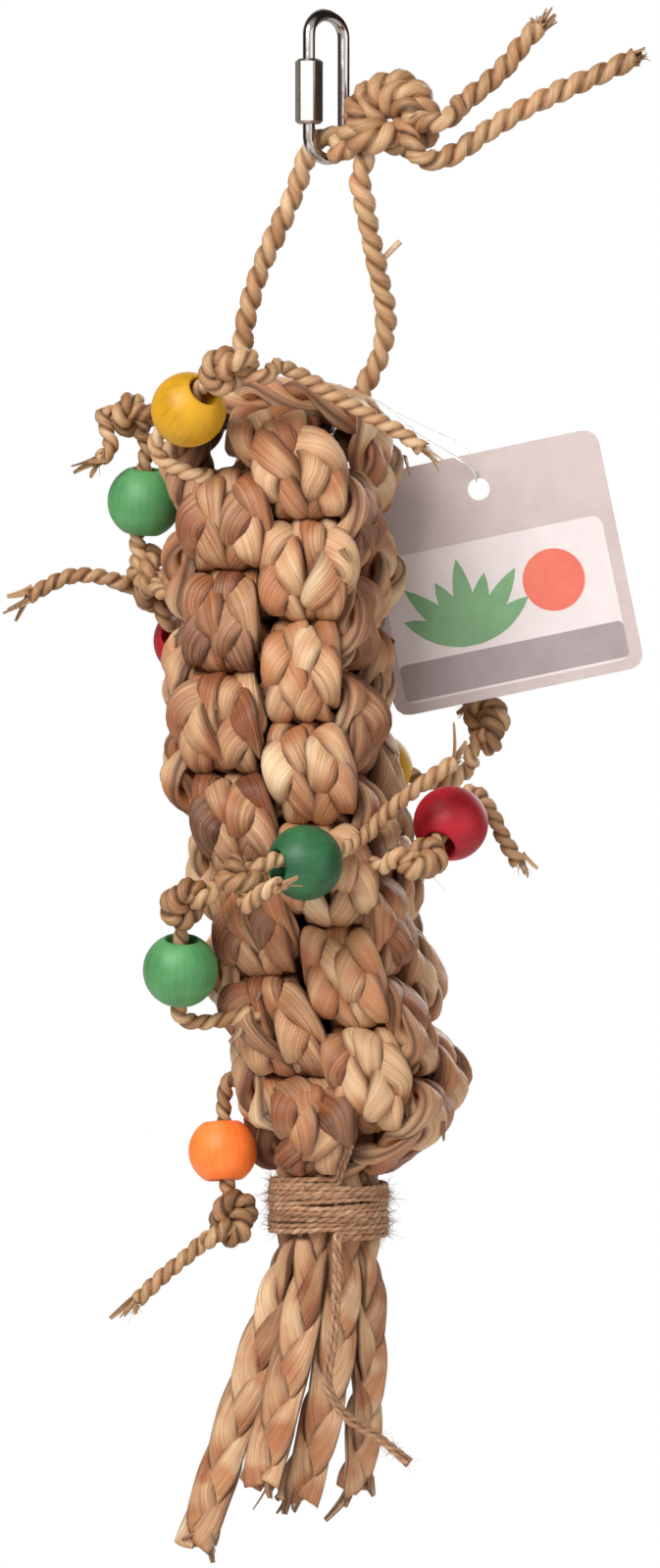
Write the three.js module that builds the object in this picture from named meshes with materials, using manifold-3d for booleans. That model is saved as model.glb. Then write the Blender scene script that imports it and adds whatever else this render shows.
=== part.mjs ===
// Hanging bird toy. Four long flat braids, laid in pairs, are worked into a square crown sinnet: a
// column of crowns, each strand of a crown lying over its neighbour and under the next. The column
// hangs from a steel quick link on a knotted rope loop. Knotted cords in its sides carry wooden ball
// beads, twine binds the eight braid ends into a tassel, and a card tag hangs on a thin loop.
// Millimetres, Z up, X to the right, Y to the back. The origin is the top of the link's eye, where
// a hook carries the toy.

import * as THREE from 'three';
import { mergeVertices } from 'three/addons/utils/BufferGeometryUtils.js';
import Module from 'manifold-3d';

const wasm = await Module();
wasm.setup();

// Fit between pieces that touch
const touchGap = 0.3;

// Quick link: an oval of round wire with a mouth in one side, closed by a sleeve nut
const linkWire = 3.5;
const linkHeight = 42;
const linkWidth = 18;
const linkStraight = 27;
const linkTurn = THREE.MathUtils.degToRad(50);
const linkMouth = 4.4;
const mouthGrip = 2.4;
const nutFlats = 6.8;
const nutLength = 17.4;
const nutTopDepth = 10.5;
const nutChamfer = 0.7;

// Hanging rope
const ropeDiameter = 5.8;
const ropeKnotSqueeze = 0.62;
const ropeKnotGap = 0.5;
const ropeKnotHole = 1.35;

// Crown sinnet: sizes of a braid inside the column, and where it turns back in a lobe on a face
const crownCount = 13;
const passWidth = 7;
const passThickness = 6;
const passGap = 0.75;
const pairGap = 0.4;
const lobeWidth = 11.4;
const lobeThickness = 10.2;
const lobeBulge = 5;
const coreHole = 7.4;
const faceMargin = 1.3;
const topPassWidth = 8.8;
const topDepth = 105;
const columnTurn = THREE.MathUtils.degToRad(-13);

// Tassel: the eight ends side by side in a ring under a twine winding, then hanging free
const tasselEnds = 8;
const neckLength = 16;
const bundleRadius = 9.5;
const bundleWidth = 7;
const bundleThickness = 8.6;
const tailWidth = 12.4;
const tailThickness = 8.5;
const twineDiameter = 1.9;
const twineGap = 0.5;
const twineTurns = 6;

// Bead cords and beads
const cordDiameter = 4.5;
const knotSqueeze = 0.78;
const beadDiameter = 20;
const smallBeadDiameter = 18.4;
const beadBore = 8.6;

// Card tag and its loop
const tagWidth = 69;
const tagHeight = 66;
const tagThickness = 0.6;
const tagCorner = 4;
const tagHole = 6;
const tagHoleDepth = 9.8;
const loopDiameter = 0.8;

// Sides and steps of the facets
const wireSides = 10;
const ropeSides = 7;
const cordSides = 6;
const twineSides = 5;
const beadSegments = 12;
const beadArcSteps = 8;
const knotSteps = 22;
const ropeKnotSteps = 26;
const turnSteps = 20;

const vec = (x, y, z) => new THREE.Vector3(x, y, z);
const toy = new THREE.Group();

const finishes = {
  steel: new THREE.MeshStandardMaterial({ color: '#a9a6a3', roughness: 0.25, metalness: 1 }),
  nut: new THREE.MeshStandardMaterial({ color: '#b3ada6', roughness: 0.32, metalness: 1 }),
  seagrass: new THREE.MeshStandardMaterial({ color: '#b39466', roughness: 0.75, metalness: 0 }),
  hyacinth: new THREE.MeshStandardMaterial({ color: '#b98a60', roughness: 0.6, metalness: 0 }),
  jute: new THREE.MeshStandardMaterial({ color: '#a07c5c', roughness: 0.9, metalness: 0 }),
  card: new THREE.MeshStandardMaterial({ color: '#d8cdc6', roughness: 0.35, metalness: 0 }),
  clearPlastic: new THREE.MeshStandardMaterial({ color: '#e9e7e4', roughness: 0.2, metalness: 0 }),
  yellow: new THREE.MeshStandardMaterial({ color: '#e0a51b', roughness: 0.45, metalness: 0 }),
  green: new THREE.MeshStandardMaterial({ color: '#3f9055', roughness: 0.45, metalness: 0 }),
  red: new THREE.MeshStandardMaterial({ color: '#b8222b', roughness: 0.45, metalness: 0 }),
  orange: new THREE.MeshStandardMaterial({ color: '#ec6a2c', roughness: 0.45, metalness: 0 }),
};

function addPart(name, geometry, finish) {
  const mesh = new THREE.Mesh(geometry, finishes[finish]);
  mesh.name = name;
  toy.add(mesh);
  return mesh;
}

// Surfaces and solids

// A skin over rings of points, capped at both ends, or joined round when the rings close.
function skin(rings, closed = false) {
  const sides = rings[0].length;
  const position = rings.flat().flatMap((p) => [p.x, p.y, p.z]);
  const index = [];
  const last = closed ? rings.length : rings.length - 1;
  for (let i = 0; i < last; i += 1) {
    const here = i * sides;
    const next = ((i + 1) % rings.length) * sides;
    for (let j = 0; j < sides; j += 1) {
      const k = (j + 1) % sides;
      index.push(here + j, here + k, next + j, here + k, next + k, next + j);
    }
  }
  if (!closed) {
    const end = (rings.length - 1) * sides;
    for (let j = 1; j < sides - 1; j += 1) {
      index.push(0, j + 1, j, end, end + j, end + j + 1);
    }
  }
  const geometry = new THREE.BufferGeometry();
  geometry.setAttribute('position', new THREE.Float32BufferAttribute(position, 3));
  geometry.setIndex(index);
  geometry.computeVertexNormals();
  return geometry;
}

// Unit directions of travel along a list of points.
function travel(points, closed = false) {
  const count = points.length;
  const at = (i) => points[closed ? (i + count) % count : THREE.MathUtils.clamp(i, 0, count - 1)];
  return points.map((p, i) => {
    const before = p.clone().sub(at(i - 1)).normalize();
    const after = at(i + 1).clone().sub(p).normalize();
    return before.add(after).normalize();
  });
}

// A round tube along points, with its own radius at each, turned as little as possible on the way.
function tube(points, radii, sides) {
  const along = travel(points);
  const first = Math.abs(along[0].z) < 0.9 ? vec(0, 0, 1) : vec(1, 0, 0);
  let across = first.sub(along[0].clone().multiplyScalar(first.dot(along[0]))).normalize();
  const turn = new THREE.Quaternion();
  const rings = points.map((p, i) => {
    if (i > 0) across = across.clone().applyQuaternion(turn.setFromUnitVectors(along[i - 1], along[i]));
    const third = along[i].clone().cross(across);
    return Array.from({ length: sides }, (_, j) => {
      const angle = (2 * Math.PI * j) / sides;
      return p.clone()
        .addScaledVector(across, radii[i] * Math.cos(angle))
        .addScaledVector(third, radii[i] * Math.sin(angle));
    });
  });
  return skin(rings);
}

// A round tube along a closed course, its turn shared out so that the ends meet.
function ringTube(points, radius, sides) {
  const along = travel(points, true);
  const turn = new THREE.Quaternion();
  const first = vec(0, 0, 1).addScaledVector(along[0], -along[0].z).normalize();
  const across = [first];
  for (let i = 1; i <= points.length; i += 1) {
    turn.setFromUnitVectors(along[i - 1], along[i % points.length]);
    across.push(across[i - 1].clone().applyQuaternion(turn));
  }
  const last = across[points.length];
  const miss = Math.atan2(last.clone().cross(first).dot(along[0]), last.dot(first));
  const rings = points.map((p, i) => {
    const third = along[i].clone().cross(across[i]);
    return Array.from({ length: sides }, (_, j) => {
      const angle = (2 * Math.PI * j) / sides + (miss * i) / points.length;
      return p.clone()
        .addScaledVector(across[i], radius * Math.cos(angle))
        .addScaledVector(third, radius * Math.sin(angle));
    });
  });
  return skin(rings, true);
}

// A flat band through stations, each with its place, the direction of its width, its width and its
// thickness. Its section is a flat hexagon, blunt in the middle and sharp at both edges.
const bandFlat = 0.3;
const bandSection = [
  [0.5, 0], [bandFlat, 0.5], [-bandFlat, 0.5], [-0.5, 0], [-bandFlat, -0.5], [bandFlat, -0.5],
];
function band(stations, place, grow = 0) {
  const along = travel(stations.map((s) => s.at));
  return skin(stations.map((s, i) => {
    const up = along[i].clone().cross(s.across).normalize();
    return bandSection.map(([a, b]) => place(s.at.clone()
      .addScaledVector(s.across, a * (s.width + 2 * grow))
      .addScaledVector(up, b * (s.thickness + 2 * grow))));
  }));
}

function solid(geometry) {
  const bare = geometry.clone();
  bare.deleteAttribute('normal');
  if (bare.getAttribute('uv')) bare.deleteAttribute('uv');
  const merged = mergeVertices(bare, 1e-4);
  return new wasm.Manifold(new wasm.Mesh({
    numProp: 3,
    vertProperties: Float32Array.from(merged.getAttribute('position').array),
    triVerts: Uint32Array.from(merged.getIndex().array),
  }));
}

function surface(body) {
  const mesh = body.getMesh();
  const geometry = new THREE.BufferGeometry();
  geometry.setAttribute('position', new THREE.BufferAttribute(mesh.vertProperties, 3));
  geometry.setIndex(new THREE.BufferAttribute(mesh.triVerts, 1));
  geometry.computeVertexNormals();
  return geometry;
}

// A tube less the envelopes that it runs into, as its largest remaining piece.
function trimmed(geometry, envelopes) {
  const whole = solid(geometry);
  const rest = envelopes.reduce((body, envelope) => body.subtract(envelope), whole);
  const pieces = rest.decompose().sort((a, b) => b.volume() - a.volume());
  return surface(pieces[0]);
}

// Least clear distance of a round tube from itself, leaving out neighbours along it.
const neighbourReach = 5;
function leastSelfGap(points, radii) {
  let least = Infinity;
  const walked = [0];
  for (let i = 1; i < points.length; i += 1) {
    walked.push(walked[i - 1] + points[i].distanceTo(points[i - 1]));
  }
  for (let i = 0; i < points.length; i += 1) {
    for (let j = i + 1; j < points.length; j += 1) {
      if (walked[j] - walked[i] < neighbourReach * (radii[i] + radii[j])) continue;
      least = Math.min(least, points[i].distanceTo(points[j]) - radii[i] - radii[j]);
    }
  }
  return least;
}

// A smooth run through points, sampled about every step.
function smoothRun(points, step) {
  const curve = new THREE.CatmullRomCurve3(points, false, 'centripetal');
  return curve.getSpacedPoints(Math.max(2, Math.round(curve.getLength() / step)));
}

// Quick link and nut

const linkRadius = linkWire / 2;
const linkAcross = vec(Math.cos(linkTurn), Math.sin(linkTurn), 0);
const linkThrough = vec(Math.sin(linkTurn), -Math.cos(linkTurn), 0);
const barOffset = (linkWidth - linkWire) / 2;
const linkMiddle = linkRadius + linkWire / 2 - linkHeight / 2;
const endRise = (linkHeight - linkWire - linkStraight) / 2;
const linkFloor = 2 * linkWire - linkHeight;
const atLink = (across, z) => linkAcross.clone().multiplyScalar(across).setZ(z);

function quickLink() {
  const lowerTip = -nutTopDepth - nutLength + mouthGrip;
  const upperTip = lowerTip + linkMouth;
  const arcSteps = 8;
  const arc = (turn, sign) => Array.from({ length: arcSteps + 1 }, (_, i) => {
    const angle = turn + (Math.PI * i) / arcSteps;
    return atLink(
      -barOffset * Math.cos(angle),
      linkMiddle + sign * linkStraight / 2 - endRise * Math.sin(angle),
    );
  });
  const path = [
    atLink(-barOffset, lowerTip), ...arc(0, -1), ...arc(Math.PI, 1), atLink(-barOffset, upperTip),
  ];
  addPart('quick_link', tube(path, path.map(() => linkRadius), wireSides), 'steel');
}

function linkNut() {
  const corner = nutFlats / Math.sqrt(3);
  const hexagon = new THREE.Shape(Array.from({ length: 6 }, (_, i) => {
    const angle = (Math.PI * i) / 3;
    return new THREE.Vector2(corner * Math.cos(angle), corner * Math.sin(angle));
  }));
  const bore = new THREE.Path();
  bore.absarc(0, 0, linkRadius + touchGap, 0, 2 * Math.PI, true);
  hexagon.holes.push(bore);
  const length = { depth: nutLength, bevelEnabled: false, curveSegments: 8 };
  const bar = new THREE.ExtrudeGeometry(hexagon, length);
  const narrow = nutFlats / 2;
  const rim = corner + touchGap;
  const rise = nutChamfer * ((rim - narrow) / (corner - narrow));
  const envelope = new THREE.LatheGeometry([
    new THREE.Vector2(0, 0),
    new THREE.Vector2(narrow, 0),
    new THREE.Vector2(rim, rise),
    new THREE.Vector2(rim, nutLength - rise),
    new THREE.Vector2(narrow, nutLength),
    new THREE.Vector2(0, nutLength),
  ], 24).rotateX(Math.PI / 2);
  const nut = surface(solid(bar).intersect(solid(envelope)));
  const mesh = addPart('link_nut', nut, 'nut');
  mesh.position.copy(atLink(-barOffset, -nutTopDepth - nutLength));
  mesh.rotation.z = linkTurn;
}

// Crown sinnet. Each half braid zigzags in one upright plane: it crosses the column in a pass, low
// over the first strand and high under the second, and turns down to the next crown in a lobe.

const levelStep = passThickness + passGap;
const crownPitch = 2 * levelStep;
const rowStep = { pass: passWidth + pairGap, lobe: lobeWidth + pairGap, top: topPassWidth + pairGap };
const passRow = (row) => coreHole / 2 + passWidth / 2 + row * rowStep.pass;
const lobeRow = (row) => pairGap / 2 + lobeWidth / 2 + row * rowStep.lobe;
const topRow = (row) => (row - 0.5) * rowStep.top;
const passEnd = passRow(1) + passWidth / 2 + faceMargin;
const ropeSeat = passThickness / 2 + touchGap + ropeDiameter / 2;
const topPass = (quarter) => -topDepth - (quarter % 2 === 0 ? levelStep : 0);
const bightDepth = -topDepth - levelStep - ropeSeat;
const crownMiddle = (crown) => bightDepth - ropeSeat - levelStep / 2 - (crown - 1) * crownPitch;
const neckTop = crownMiddle(crownCount) - levelStep / 2;
const bindingTop = neckTop - neckLength;
const twinePitch = twineDiameter + twineGap;
const bindingLength = twineTurns * twinePitch + 2 * twineDiameter;
const bindingBottom = bindingTop - bindingLength;
const bindingMiddle = (bindingTop + bindingBottom) / 2;

// The column leans: sideways place of its axis at each depth, read off between stations.
const leanStations = [
  [0.2, -11.7], [0.47, -12], [0.66, -6], [0.84, -0.5], [0.97, 7], [1.04, 5], [1.095, 0.5],
].map(([share, x]) => vec(-topDepth + share * (crownMiddle(crownCount) + topDepth), x, 0));
function leanAt(z) {
  const first = leanStations[0];
  const last = leanStations[leanStations.length - 1];
  if (z >= first.x) return first.y;
  if (z <= last.x) return last.y;
  const i = leanStations.findIndex((s) => s.x <= z);
  const [a, b] = [leanStations[i - 1], leanStations[i]];
  const before = leanStations[Math.max(i - 2, 0)];
  const after = leanStations[Math.min(i + 1, leanStations.length - 1)];
  const share = (z - a.x) / (b.x - a.x);
  const slopeA = ((b.y - before.y) / (b.x - before.x)) * (b.x - a.x);
  const slopeB = ((after.y - a.y) / (after.x - a.x)) * (b.x - a.x);
  const [s2, s3] = [share ** 2, share ** 3];
  return a.y * (2 * s3 - 3 * s2 + 1) + slopeA * (s3 - 2 * s2 + share)
    + b.y * (3 * s2 - 2 * s3) + slopeB * (s3 - s2);
}

// From the column's own square frame to the toy's: turned about the axis, then leaned.
function toToy(p) {
  p.applyAxisAngle(vec(0, 0, 1), columnTurn);
  p.x += leanAt(p.z);
  return p;
}

const blend = (a, b, share) => a + (b - a) * share;

// Places of one half braid from the top crossing down to the binding. Local x is its row, local y
// the way it crosses; quarter turns set it on its own side of the column.
function halfBraid(quarter, row) {
  const spin = (quarter * Math.PI) / 2;
  const turned = (x, y, z) => vec(x, y, z).applyAxisAngle(vec(0, 0, 1), spin);
  const stations = [];
  const put = (x, y, z, width, thickness, facing = 0) => stations.push({
    at: turned(x, y, z),
    across: turned(Math.cos(facing), Math.sin(facing), 0),
    width,
    thickness,
  });
  const lobeAngles = [0.25, 0.5, 0.75].map((share) => share * Math.PI);
  const lobe = (side, from, to, rowFrom, rowMid, rowTo, widthFrom) => lobeAngles.forEach((angle) => {
    const swell = Math.sin(angle) ** 2;
    const share = (1 - Math.cos(angle)) / 2;
    const base = blend(rowFrom, rowTo, share);
    const baseMid = (rowFrom + rowTo) / 2;
    put(
      base + (rowMid - baseMid) * swell,
      side * (passEnd + lobeBulge * Math.sin(angle)),
      blend(from, to, share),
      blend(blend(widthFrom, passWidth, share), lobeWidth, swell),
      blend(passThickness, lobeThickness, swell),
    );
  });
  let side = -1;
  const start = topPass(quarter);
  put(topRow(row), side * passEnd, start, topPassWidth, passThickness);
  const topShift = (passRow(0) + passRow(1)) / 4 + faceMargin * 2;
  const topMid = topShift + (row - 0.5) * rowStep.lobe;
  lobe(side, start, crownMiddle(1) - levelStep / 2, topRow(row), topMid, passRow(row), topPassWidth);
  for (let crown = 1; crown <= crownCount; crown += 1) {
    const low = crownMiddle(crown) - levelStep / 2;
    const high = crownMiddle(crown) + levelStep / 2;
    put(passRow(row), side * passEnd, low, passWidth, passThickness);
    put(passRow(row), side * coreHole / 2, low, passWidth, passThickness);
    side = -side;
    put(passRow(row), side * coreHole / 2, high, passWidth, passThickness);
    put(passRow(row), side * passEnd, high, passWidth, passThickness);
    if (crown < crownCount) {
      const next = crownMiddle(crown + 1) - levelStep / 2;
      lobe(side, high, next, passRow(row), lobeRow(row), passRow(row), passWidth);
    }
  }
  neck(put, side, row);
  return stations;
}

// Angle of a half braid's end in the ring under the binding, in its own turned frame.
const endStep = (2 * Math.PI) / tasselEnds;
const ringStart = 1.81;
const ringAngle = (side, row) => side * endStep * (ringStart - row);

// The way from the last pass out over the face and in to the ring. Each station has its share of the
// drop to the binding, its share of the way in, and its share of the turn to the ring's facing.
const neckStations = [
  { drop: 0.16, inward: 0, turn: 0.1, width: 7.8, thickness: 7.4 },
  { drop: 0.43, inward: -0.04, turn: 0.25, width: 7.8, thickness: 7.8 },
  { drop: 0.78, inward: 0.5, turn: 0.7, width: 6.7, thickness: 7.4 },
];
const shoulderShare = 0.75;
const shoulderSpread = 0.8;
function neck(put, side, row) {
  const angle = ringAngle(side, row);
  const ring = [bundleRadius * Math.cos(angle), bundleRadius * Math.sin(angle)];
  const facing = (angle > 0 ? angle : angle + Math.PI) - Math.PI / 2;
  const from = crownMiddle(crownCount) + levelStep / 2;
  const shoulder = [passRow(row) + shoulderSpread * row, side * (passEnd + lobeBulge * shoulderShare)];
  neckStations.forEach(({ drop, inward, turn, width, thickness }) => put(
    blend(shoulder[0], ring[0], inward),
    blend(shoulder[1], ring[1], inward),
    blend(from, bindingTop, drop),
    width,
    thickness,
    facing * turn,
  ));
  put(ring[0], ring[1], bindingTop + twineDiameter, bundleWidth, bundleThickness, facing);
  put(ring[0], ring[1], bindingMiddle + touchGap / 2, bundleWidth, bundleThickness, facing);
}

// A whole braid: one half up from its end to the top crossing, and the opposite half down.
// Its envelope, larger by the gap, is kept to trim what rests on it.
const braidEnvelopes = [];
function braid(name, quarter, row) {
  const up = halfBraid(quarter + 2, 1 - row).reverse();
  up.forEach((s) => s.across.negate());
  const stations = [...up, ...halfBraid(quarter, row)];
  addPart(name, band(stations, toToy), 'hyacinth');
  braidEnvelopes.push(solid(band(stations, toToy, touchGap)));
}

function sinnet() {
  braid('braid_front_back_left', 0, 0);
  braid('braid_front_back_right', 0, 1);
  braid('braid_left_right_front', 1, 0);
  braid('braid_left_right_back', 1, 1);
}

// Tassel. Each end bends from its place in the ring to its own tip, measured from the binding's
// lower edge.
const tail = (name, bend, tip, facing) => ({ name, bend, tip, facing });
const tails = [
  tail('tail_right_back', [13.5, 8, -28], [9, 12.5, -57], [0.2, 1, 0]),
  tail('tail_back_right', [4.5, 16.5, -28], [-2.5, 18, -56], [0.2, 1, 0]),
  tail('tail_back_left', [-8.5, 15.5, -28], [-15, 16.5, -55], [-0.1, 1, 0]),
  tail('tail_left_back', [-17, 7, -28], [-29.5, 8.5, -60], [-0.3, 1, 0]),
  tail('tail_left', [-18, -6, -28], [-35.5, -11, -81], [0.95, -0.3, 0]),
  tail('tail_middle_left', [-7, -13, -24], [-18.4, -18.5, -64], [1, -0.2, 0]),
  tail('tail_middle_right', [4, -12, -32], [-8.5, -8.5, -69], [1, 0.3, 0]),
  tail('tail_right', [13.5, -5, -26], [7, -1.5, -67], [0.7, 0.7, 0]),
];
const tailSteps = 7;
const tailSpread = 0.7;

function tassel() {
  const centre = vec(leanAt(bindingMiddle), 0, bindingBottom);
  const firstAngle = ringAngle(1, 1) + columnTurn;
  tails.forEach(({ name, bend, tip, facing }, end) => {
    const angle = firstAngle + end * endStep;
    const ring = vec(bundleRadius * Math.cos(angle), bundleRadius * Math.sin(angle), 0);
    const neckPoint = ring.clone().add(centre);
    const curve = new THREE.QuadraticBezierCurve3(
      neckPoint,
      vec(...bend).add(centre),
      vec(...tip).add(centre),
    );
    const tangential = vec(Math.sin(angle), -Math.cos(angle), 0);
    const last = vec(...facing).normalize();
    if (last.dot(tangential) < 0) last.negate();
    const top = neckPoint.clone().setZ(bindingMiddle - touchGap / 2);
    const stations = [{ at: top, across: tangential, width: bundleWidth, thickness: bundleThickness }];
    for (let i = 0; i <= tailSteps; i += 1) {
      const share = i / tailSteps;
      const spread = THREE.MathUtils.smoothstep(share, 0, tailSpread);
      stations.push({
        at: curve.getPoint(share),
        across: tangential.clone().lerp(last, spread).normalize(),
        width: blend(bundleWidth, tailWidth, spread),
        thickness: blend(bundleThickness, tailThickness, spread),
      });
    }
    addPart(name, band(stations, (p) => p), 'hyacinth');
  });
}

// Twine: one loose end, the winding round the ring of ends, and the other end up the front.
const windRadius = Math.hypot(bundleRadius + bundleThickness / 2, bandFlat * bundleWidth)
  + touchGap + twineDiameter / 2;
const twineTailEnd = [
  [21.6, -23, -58], [13, -23.5, -51], [4.2, -24, -45], [0, -24, -38], [1.5, -22.5, -24], [2.2, -18.5, -9],
];
const twineStart = THREE.MathUtils.degToRad(-81);
const twineStep = 3 * twineDiameter;
const twineTopEnd = [[4, -17, 3.5], [5, -19.6, 6.2], [5.6, -22.6, 8.6]];

function twineBinding() {
  const foot = vec(leanAt(bindingMiddle), 0, bindingBottom);
  const head = vec(leanAt(bindingMiddle), 0, bindingTop);
  const winding = Array.from({ length: twineTurns * turnSteps + 1 }, (_, i) => {
    const angle = twineStart + (2 * Math.PI * i) / turnSteps;
    const z = twineDiameter + (twinePitch * i) / turnSteps;
    return vec(windRadius * Math.cos(angle), windRadius * Math.sin(angle), z).add(foot);
  });
  const lower = smoothRun([...twineTailEnd.map((p) => vec(...p).add(foot)), winding[0]], twineStep);
  const upper = smoothRun([winding.at(-1), ...twineTopEnd.map((p) => vec(...p).add(head))], twineStep);
  const path = [...lower.slice(0, -1), ...winding, ...upper.slice(1)];
  const radii = path.map(() => twineDiameter / 2);
  addPart('twine_binding', tube(path, radii, twineSides), 'jute');
  console.log(`twine_binding: least gap to itself ${leastSelfGap(path, radii).toFixed(2)} mm`);
}

// Overhand knots. The strand runs round a torus twice while it winds three times through its hole,
// and both ends leave on the x side of the knot's frame.
// Its radii, and the points just outside it that its ends pass, are in cord diameters.
const knotLead = 0.65;
const knotMajor = 1.06;
const knotMinor = 0.46;
const knotExit = [0.8, 1.95, 0.7];
const bendEnough = 0.6;
function knotCourse(major, minor, phase, steps) {
  return Array.from({ length: steps + 1 }, (_, i) => {
    const t = knotLead + ((2 * Math.PI - 2 * knotLead) * i) / steps;
    const reach = major + minor * Math.cos(3 * t + phase);
    return vec(reach * Math.cos(2 * t), reach * Math.sin(2 * t), minor * Math.sin(3 * t + phase));
  });
}

// A frame for a knot: y toward where the strand comes from, x on the side given.
function knotFrame(centre, from, side) {
  const y = from.clone().normalize();
  const x = side.clone().addScaledVector(y, -side.dot(y)).normalize();
  return new THREE.Matrix4().makeBasis(x, y, x.clone().cross(y)).setPosition(centre);
}

// Hanging rope: end, knot, through the link, left leg, bight under the top crossing, right leg,
// knot again beside the first pass, other end.
const ropeKnot = { centre: [17, -16, -28], from: [-0.93, 0.3, -0.1], side: [-0.1, -0.25, -0.95] };
const ropeEndLower = [
  [82.4, -16, -10.8], [74.4, -16, -14.7], [65, -17, -18.7], [52, -19.5, -25.2], [42, -22, -31.5],
  [33, -23.5, -37.5],
];
const ropeEndUpper = [
  [36, -21.5, -23.5], [41, -19.5, -19.5], [47.5, -17, -13.5], [52, -16, -7.6], [56.5, -15.5, -2.5],
];
const ropeLeftLeg = [
  [-8.3, 8, -44.5], [-11.6, 9, -52], [-17.4, 11, -64.7], [-21, 12.5, -76], [-22.6, 13.5, -86],
  [-21.8, 14.5, -96],
];
const ropeRightLeg = [
  [10.5, 10, -97], [14.5, 7.5, -89], [16, 3, -79], [14, -3, -68], [11.6, -8.5, -57], [9.8, -12.5, -47.5],
];
const ropeBight = [
  [-14.5, 13.6, 9.5], [-12.7, 13.3, 2], [-6, 13.2, 0], [6, 13.2, 0], [12.7, 13.3, 2], [14.5, 13.6, 9.5],
];
const ropeLeads = { inner: [1.6, 1.2, 0.5], outer: [0.55, 2.05, 0.8] };

function hangingRope() {
  const knotTube = ropeDiameter * ropeKnotSqueeze;
  const minor = knotTube + ropeKnotGap;
  const major = minor + ropeKnotHole * knotTube;
  const frame = knotFrame(vec(...ropeKnot.centre), vec(...ropeKnot.from), vec(...ropeKnot.side));
  const inKnot = (p) => p.applyMatrix4(frame);
  const course = (phase) => knotCourse(major, minor, phase, ropeKnotSteps).map(inKnot);
  const lead = ([x, y, z], sign) => inKnot(vec(x, sign * y, sign * z).multiplyScalar(major / knotMajor));
  const leftCourse = course(-Math.PI / 4).reverse();
  const rightCourse = course(Math.PI / 4);
  const list = (points) => points.map((p) => vec(...p));
  const seat = linkFloor + touchGap + ropeDiameter / 2;
  const overLink = [[4.5, 0.3], [0, 0.4], [-4.5, -0.6]]
    .map(([along, rise]) => linkThrough.clone().multiplyScalar(along).setZ(seat + rise));
  const bight = ropeBight.map(([x, y, z]) => toToy(vec(x, y, bightDepth + z)));
  const step = 1.5 * ropeDiameter;
  const between = [
    leftCourse.at(-1), lead(ropeLeads.outer, 1),
    ...overLink, ...list(ropeLeftLeg), ...bight, ...list(ropeRightLeg),
    lead(ropeLeads.inner, 1), rightCourse[0],
  ];
  const runs = [
    smoothRun([...list(ropeEndLower), lead(ropeLeads.inner, -1), leftCourse[0]], step),
    leftCourse,
    smoothRun(between, step),
    rightCourse,
    smoothRun([rightCourse.at(-1), lead(ropeLeads.outer, -1), ...list(ropeEndUpper)], step),
  ];
  const path = [];
  const radii = [];
  runs.forEach((run, i) => run.forEach((p, j) => {
    if (i > 0 && j === 0) return;
    const knotted = i % 2 === 1;
    const nearKnot = Math.min(i > 0 ? j : Infinity, i < runs.length - 1 ? run.length - 1 - j : Infinity);
    const free = knotted ? 0 : Math.min(nearKnot / 2, 1);
    path.push(p);
    radii.push((ropeDiameter / 2) * blend(ropeKnotSqueeze, 1, free));
  }));
  addPart('hanging_rope', tube(path, radii, ropeSides), 'seagrass');
  console.log(`hanging_rope: least gap to itself ${leastSelfGap(path, radii).toFixed(2)} mm`);
}

// Places beside the column are heights over its top. They were picked on a column of this reach, and
// move out or in with its own.
const drawnReach = 29.5;
const columnReach = passEnd + lobeBulge + lobeThickness / 2;
function beside([x, y, height]) {
  const place = vec(x, y, height - topDepth);
  const out = vec(x - leanAt(place.z), y, 0).normalize();
  return place.addScaledVector(out, columnReach - drawnReach);
}

// Beads: where each sits on its cord, the way the cord runs through it, and its paint.
const beads = {
  bead_yellow_top: { at: [-37.1, -29, 1.1], run: [-0.5, 0.67, -0.54], paint: 'yellow' },
  bead_green_left: { at: [-50, 12, -23.1], run: [-0.1, 0.15, -0.98], paint: 'green' },
  bead_red_left: { at: [-37, 38, -58.9], run: [0.45, 0.85, -0.25], paint: 'red' },
  bead_yellow_back: { at: [14, 38, -94], run: [0.9, 0.2, -0.3], paint: 'yellow' },
  bead_green_middle: { at: [-5.8, -44, -118.6], run: [-0.85, -0.5, -0.1], paint: 'green' },
  bead_red_right: { at: [32.5, -19, -108.8], run: [0.36, 0.66, 0.66], paint: 'red' },
  bead_green_lower: { at: [-39, -25, -148.5], run: [-0.05, 0.3, -0.95], paint: 'green' },
  bead_orange: {
    at: [-27, -6, -197.7], run: [0.05, -0.1, -0.99], paint: 'orange', diameter: smallBeadDiameter,
  },
};

// A bead hangs with its bore on the cord, off the cord's middle by the slack.
const beadSlack = (beadBore - cordDiameter) / 2 - touchGap;
function beadPlace({ at, run }) {
  const axis = vec(...run).normalize();
  const down = vec(0, 0, -1).addScaledVector(axis, axis.z).normalize();
  return { axis, centre: beside(at).addScaledVector(down, beadSlack) };
}

function bead(name, spec) {
  const radius = (spec.diameter ?? beadDiameter) / 2;
  const edge = Math.asin(beadBore / 2 / radius);
  const profile = Array.from({ length: beadArcSteps + 1 }, (_, i) => {
    const angle = edge + ((Math.PI - 2 * edge) * i) / beadArcSteps;
    return new THREE.Vector2(radius * Math.sin(angle), -radius * Math.cos(angle));
  });
  profile.push(profile[0].clone());
  const mesh = addPart(name, new THREE.LatheGeometry(profile, beadSegments), spec.paint);
  const { axis, centre } = beadPlace(spec);
  mesh.quaternion.setFromUnitVectors(vec(0, 1, 0), axis);
  mesh.position.copy(centre);
}

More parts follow.
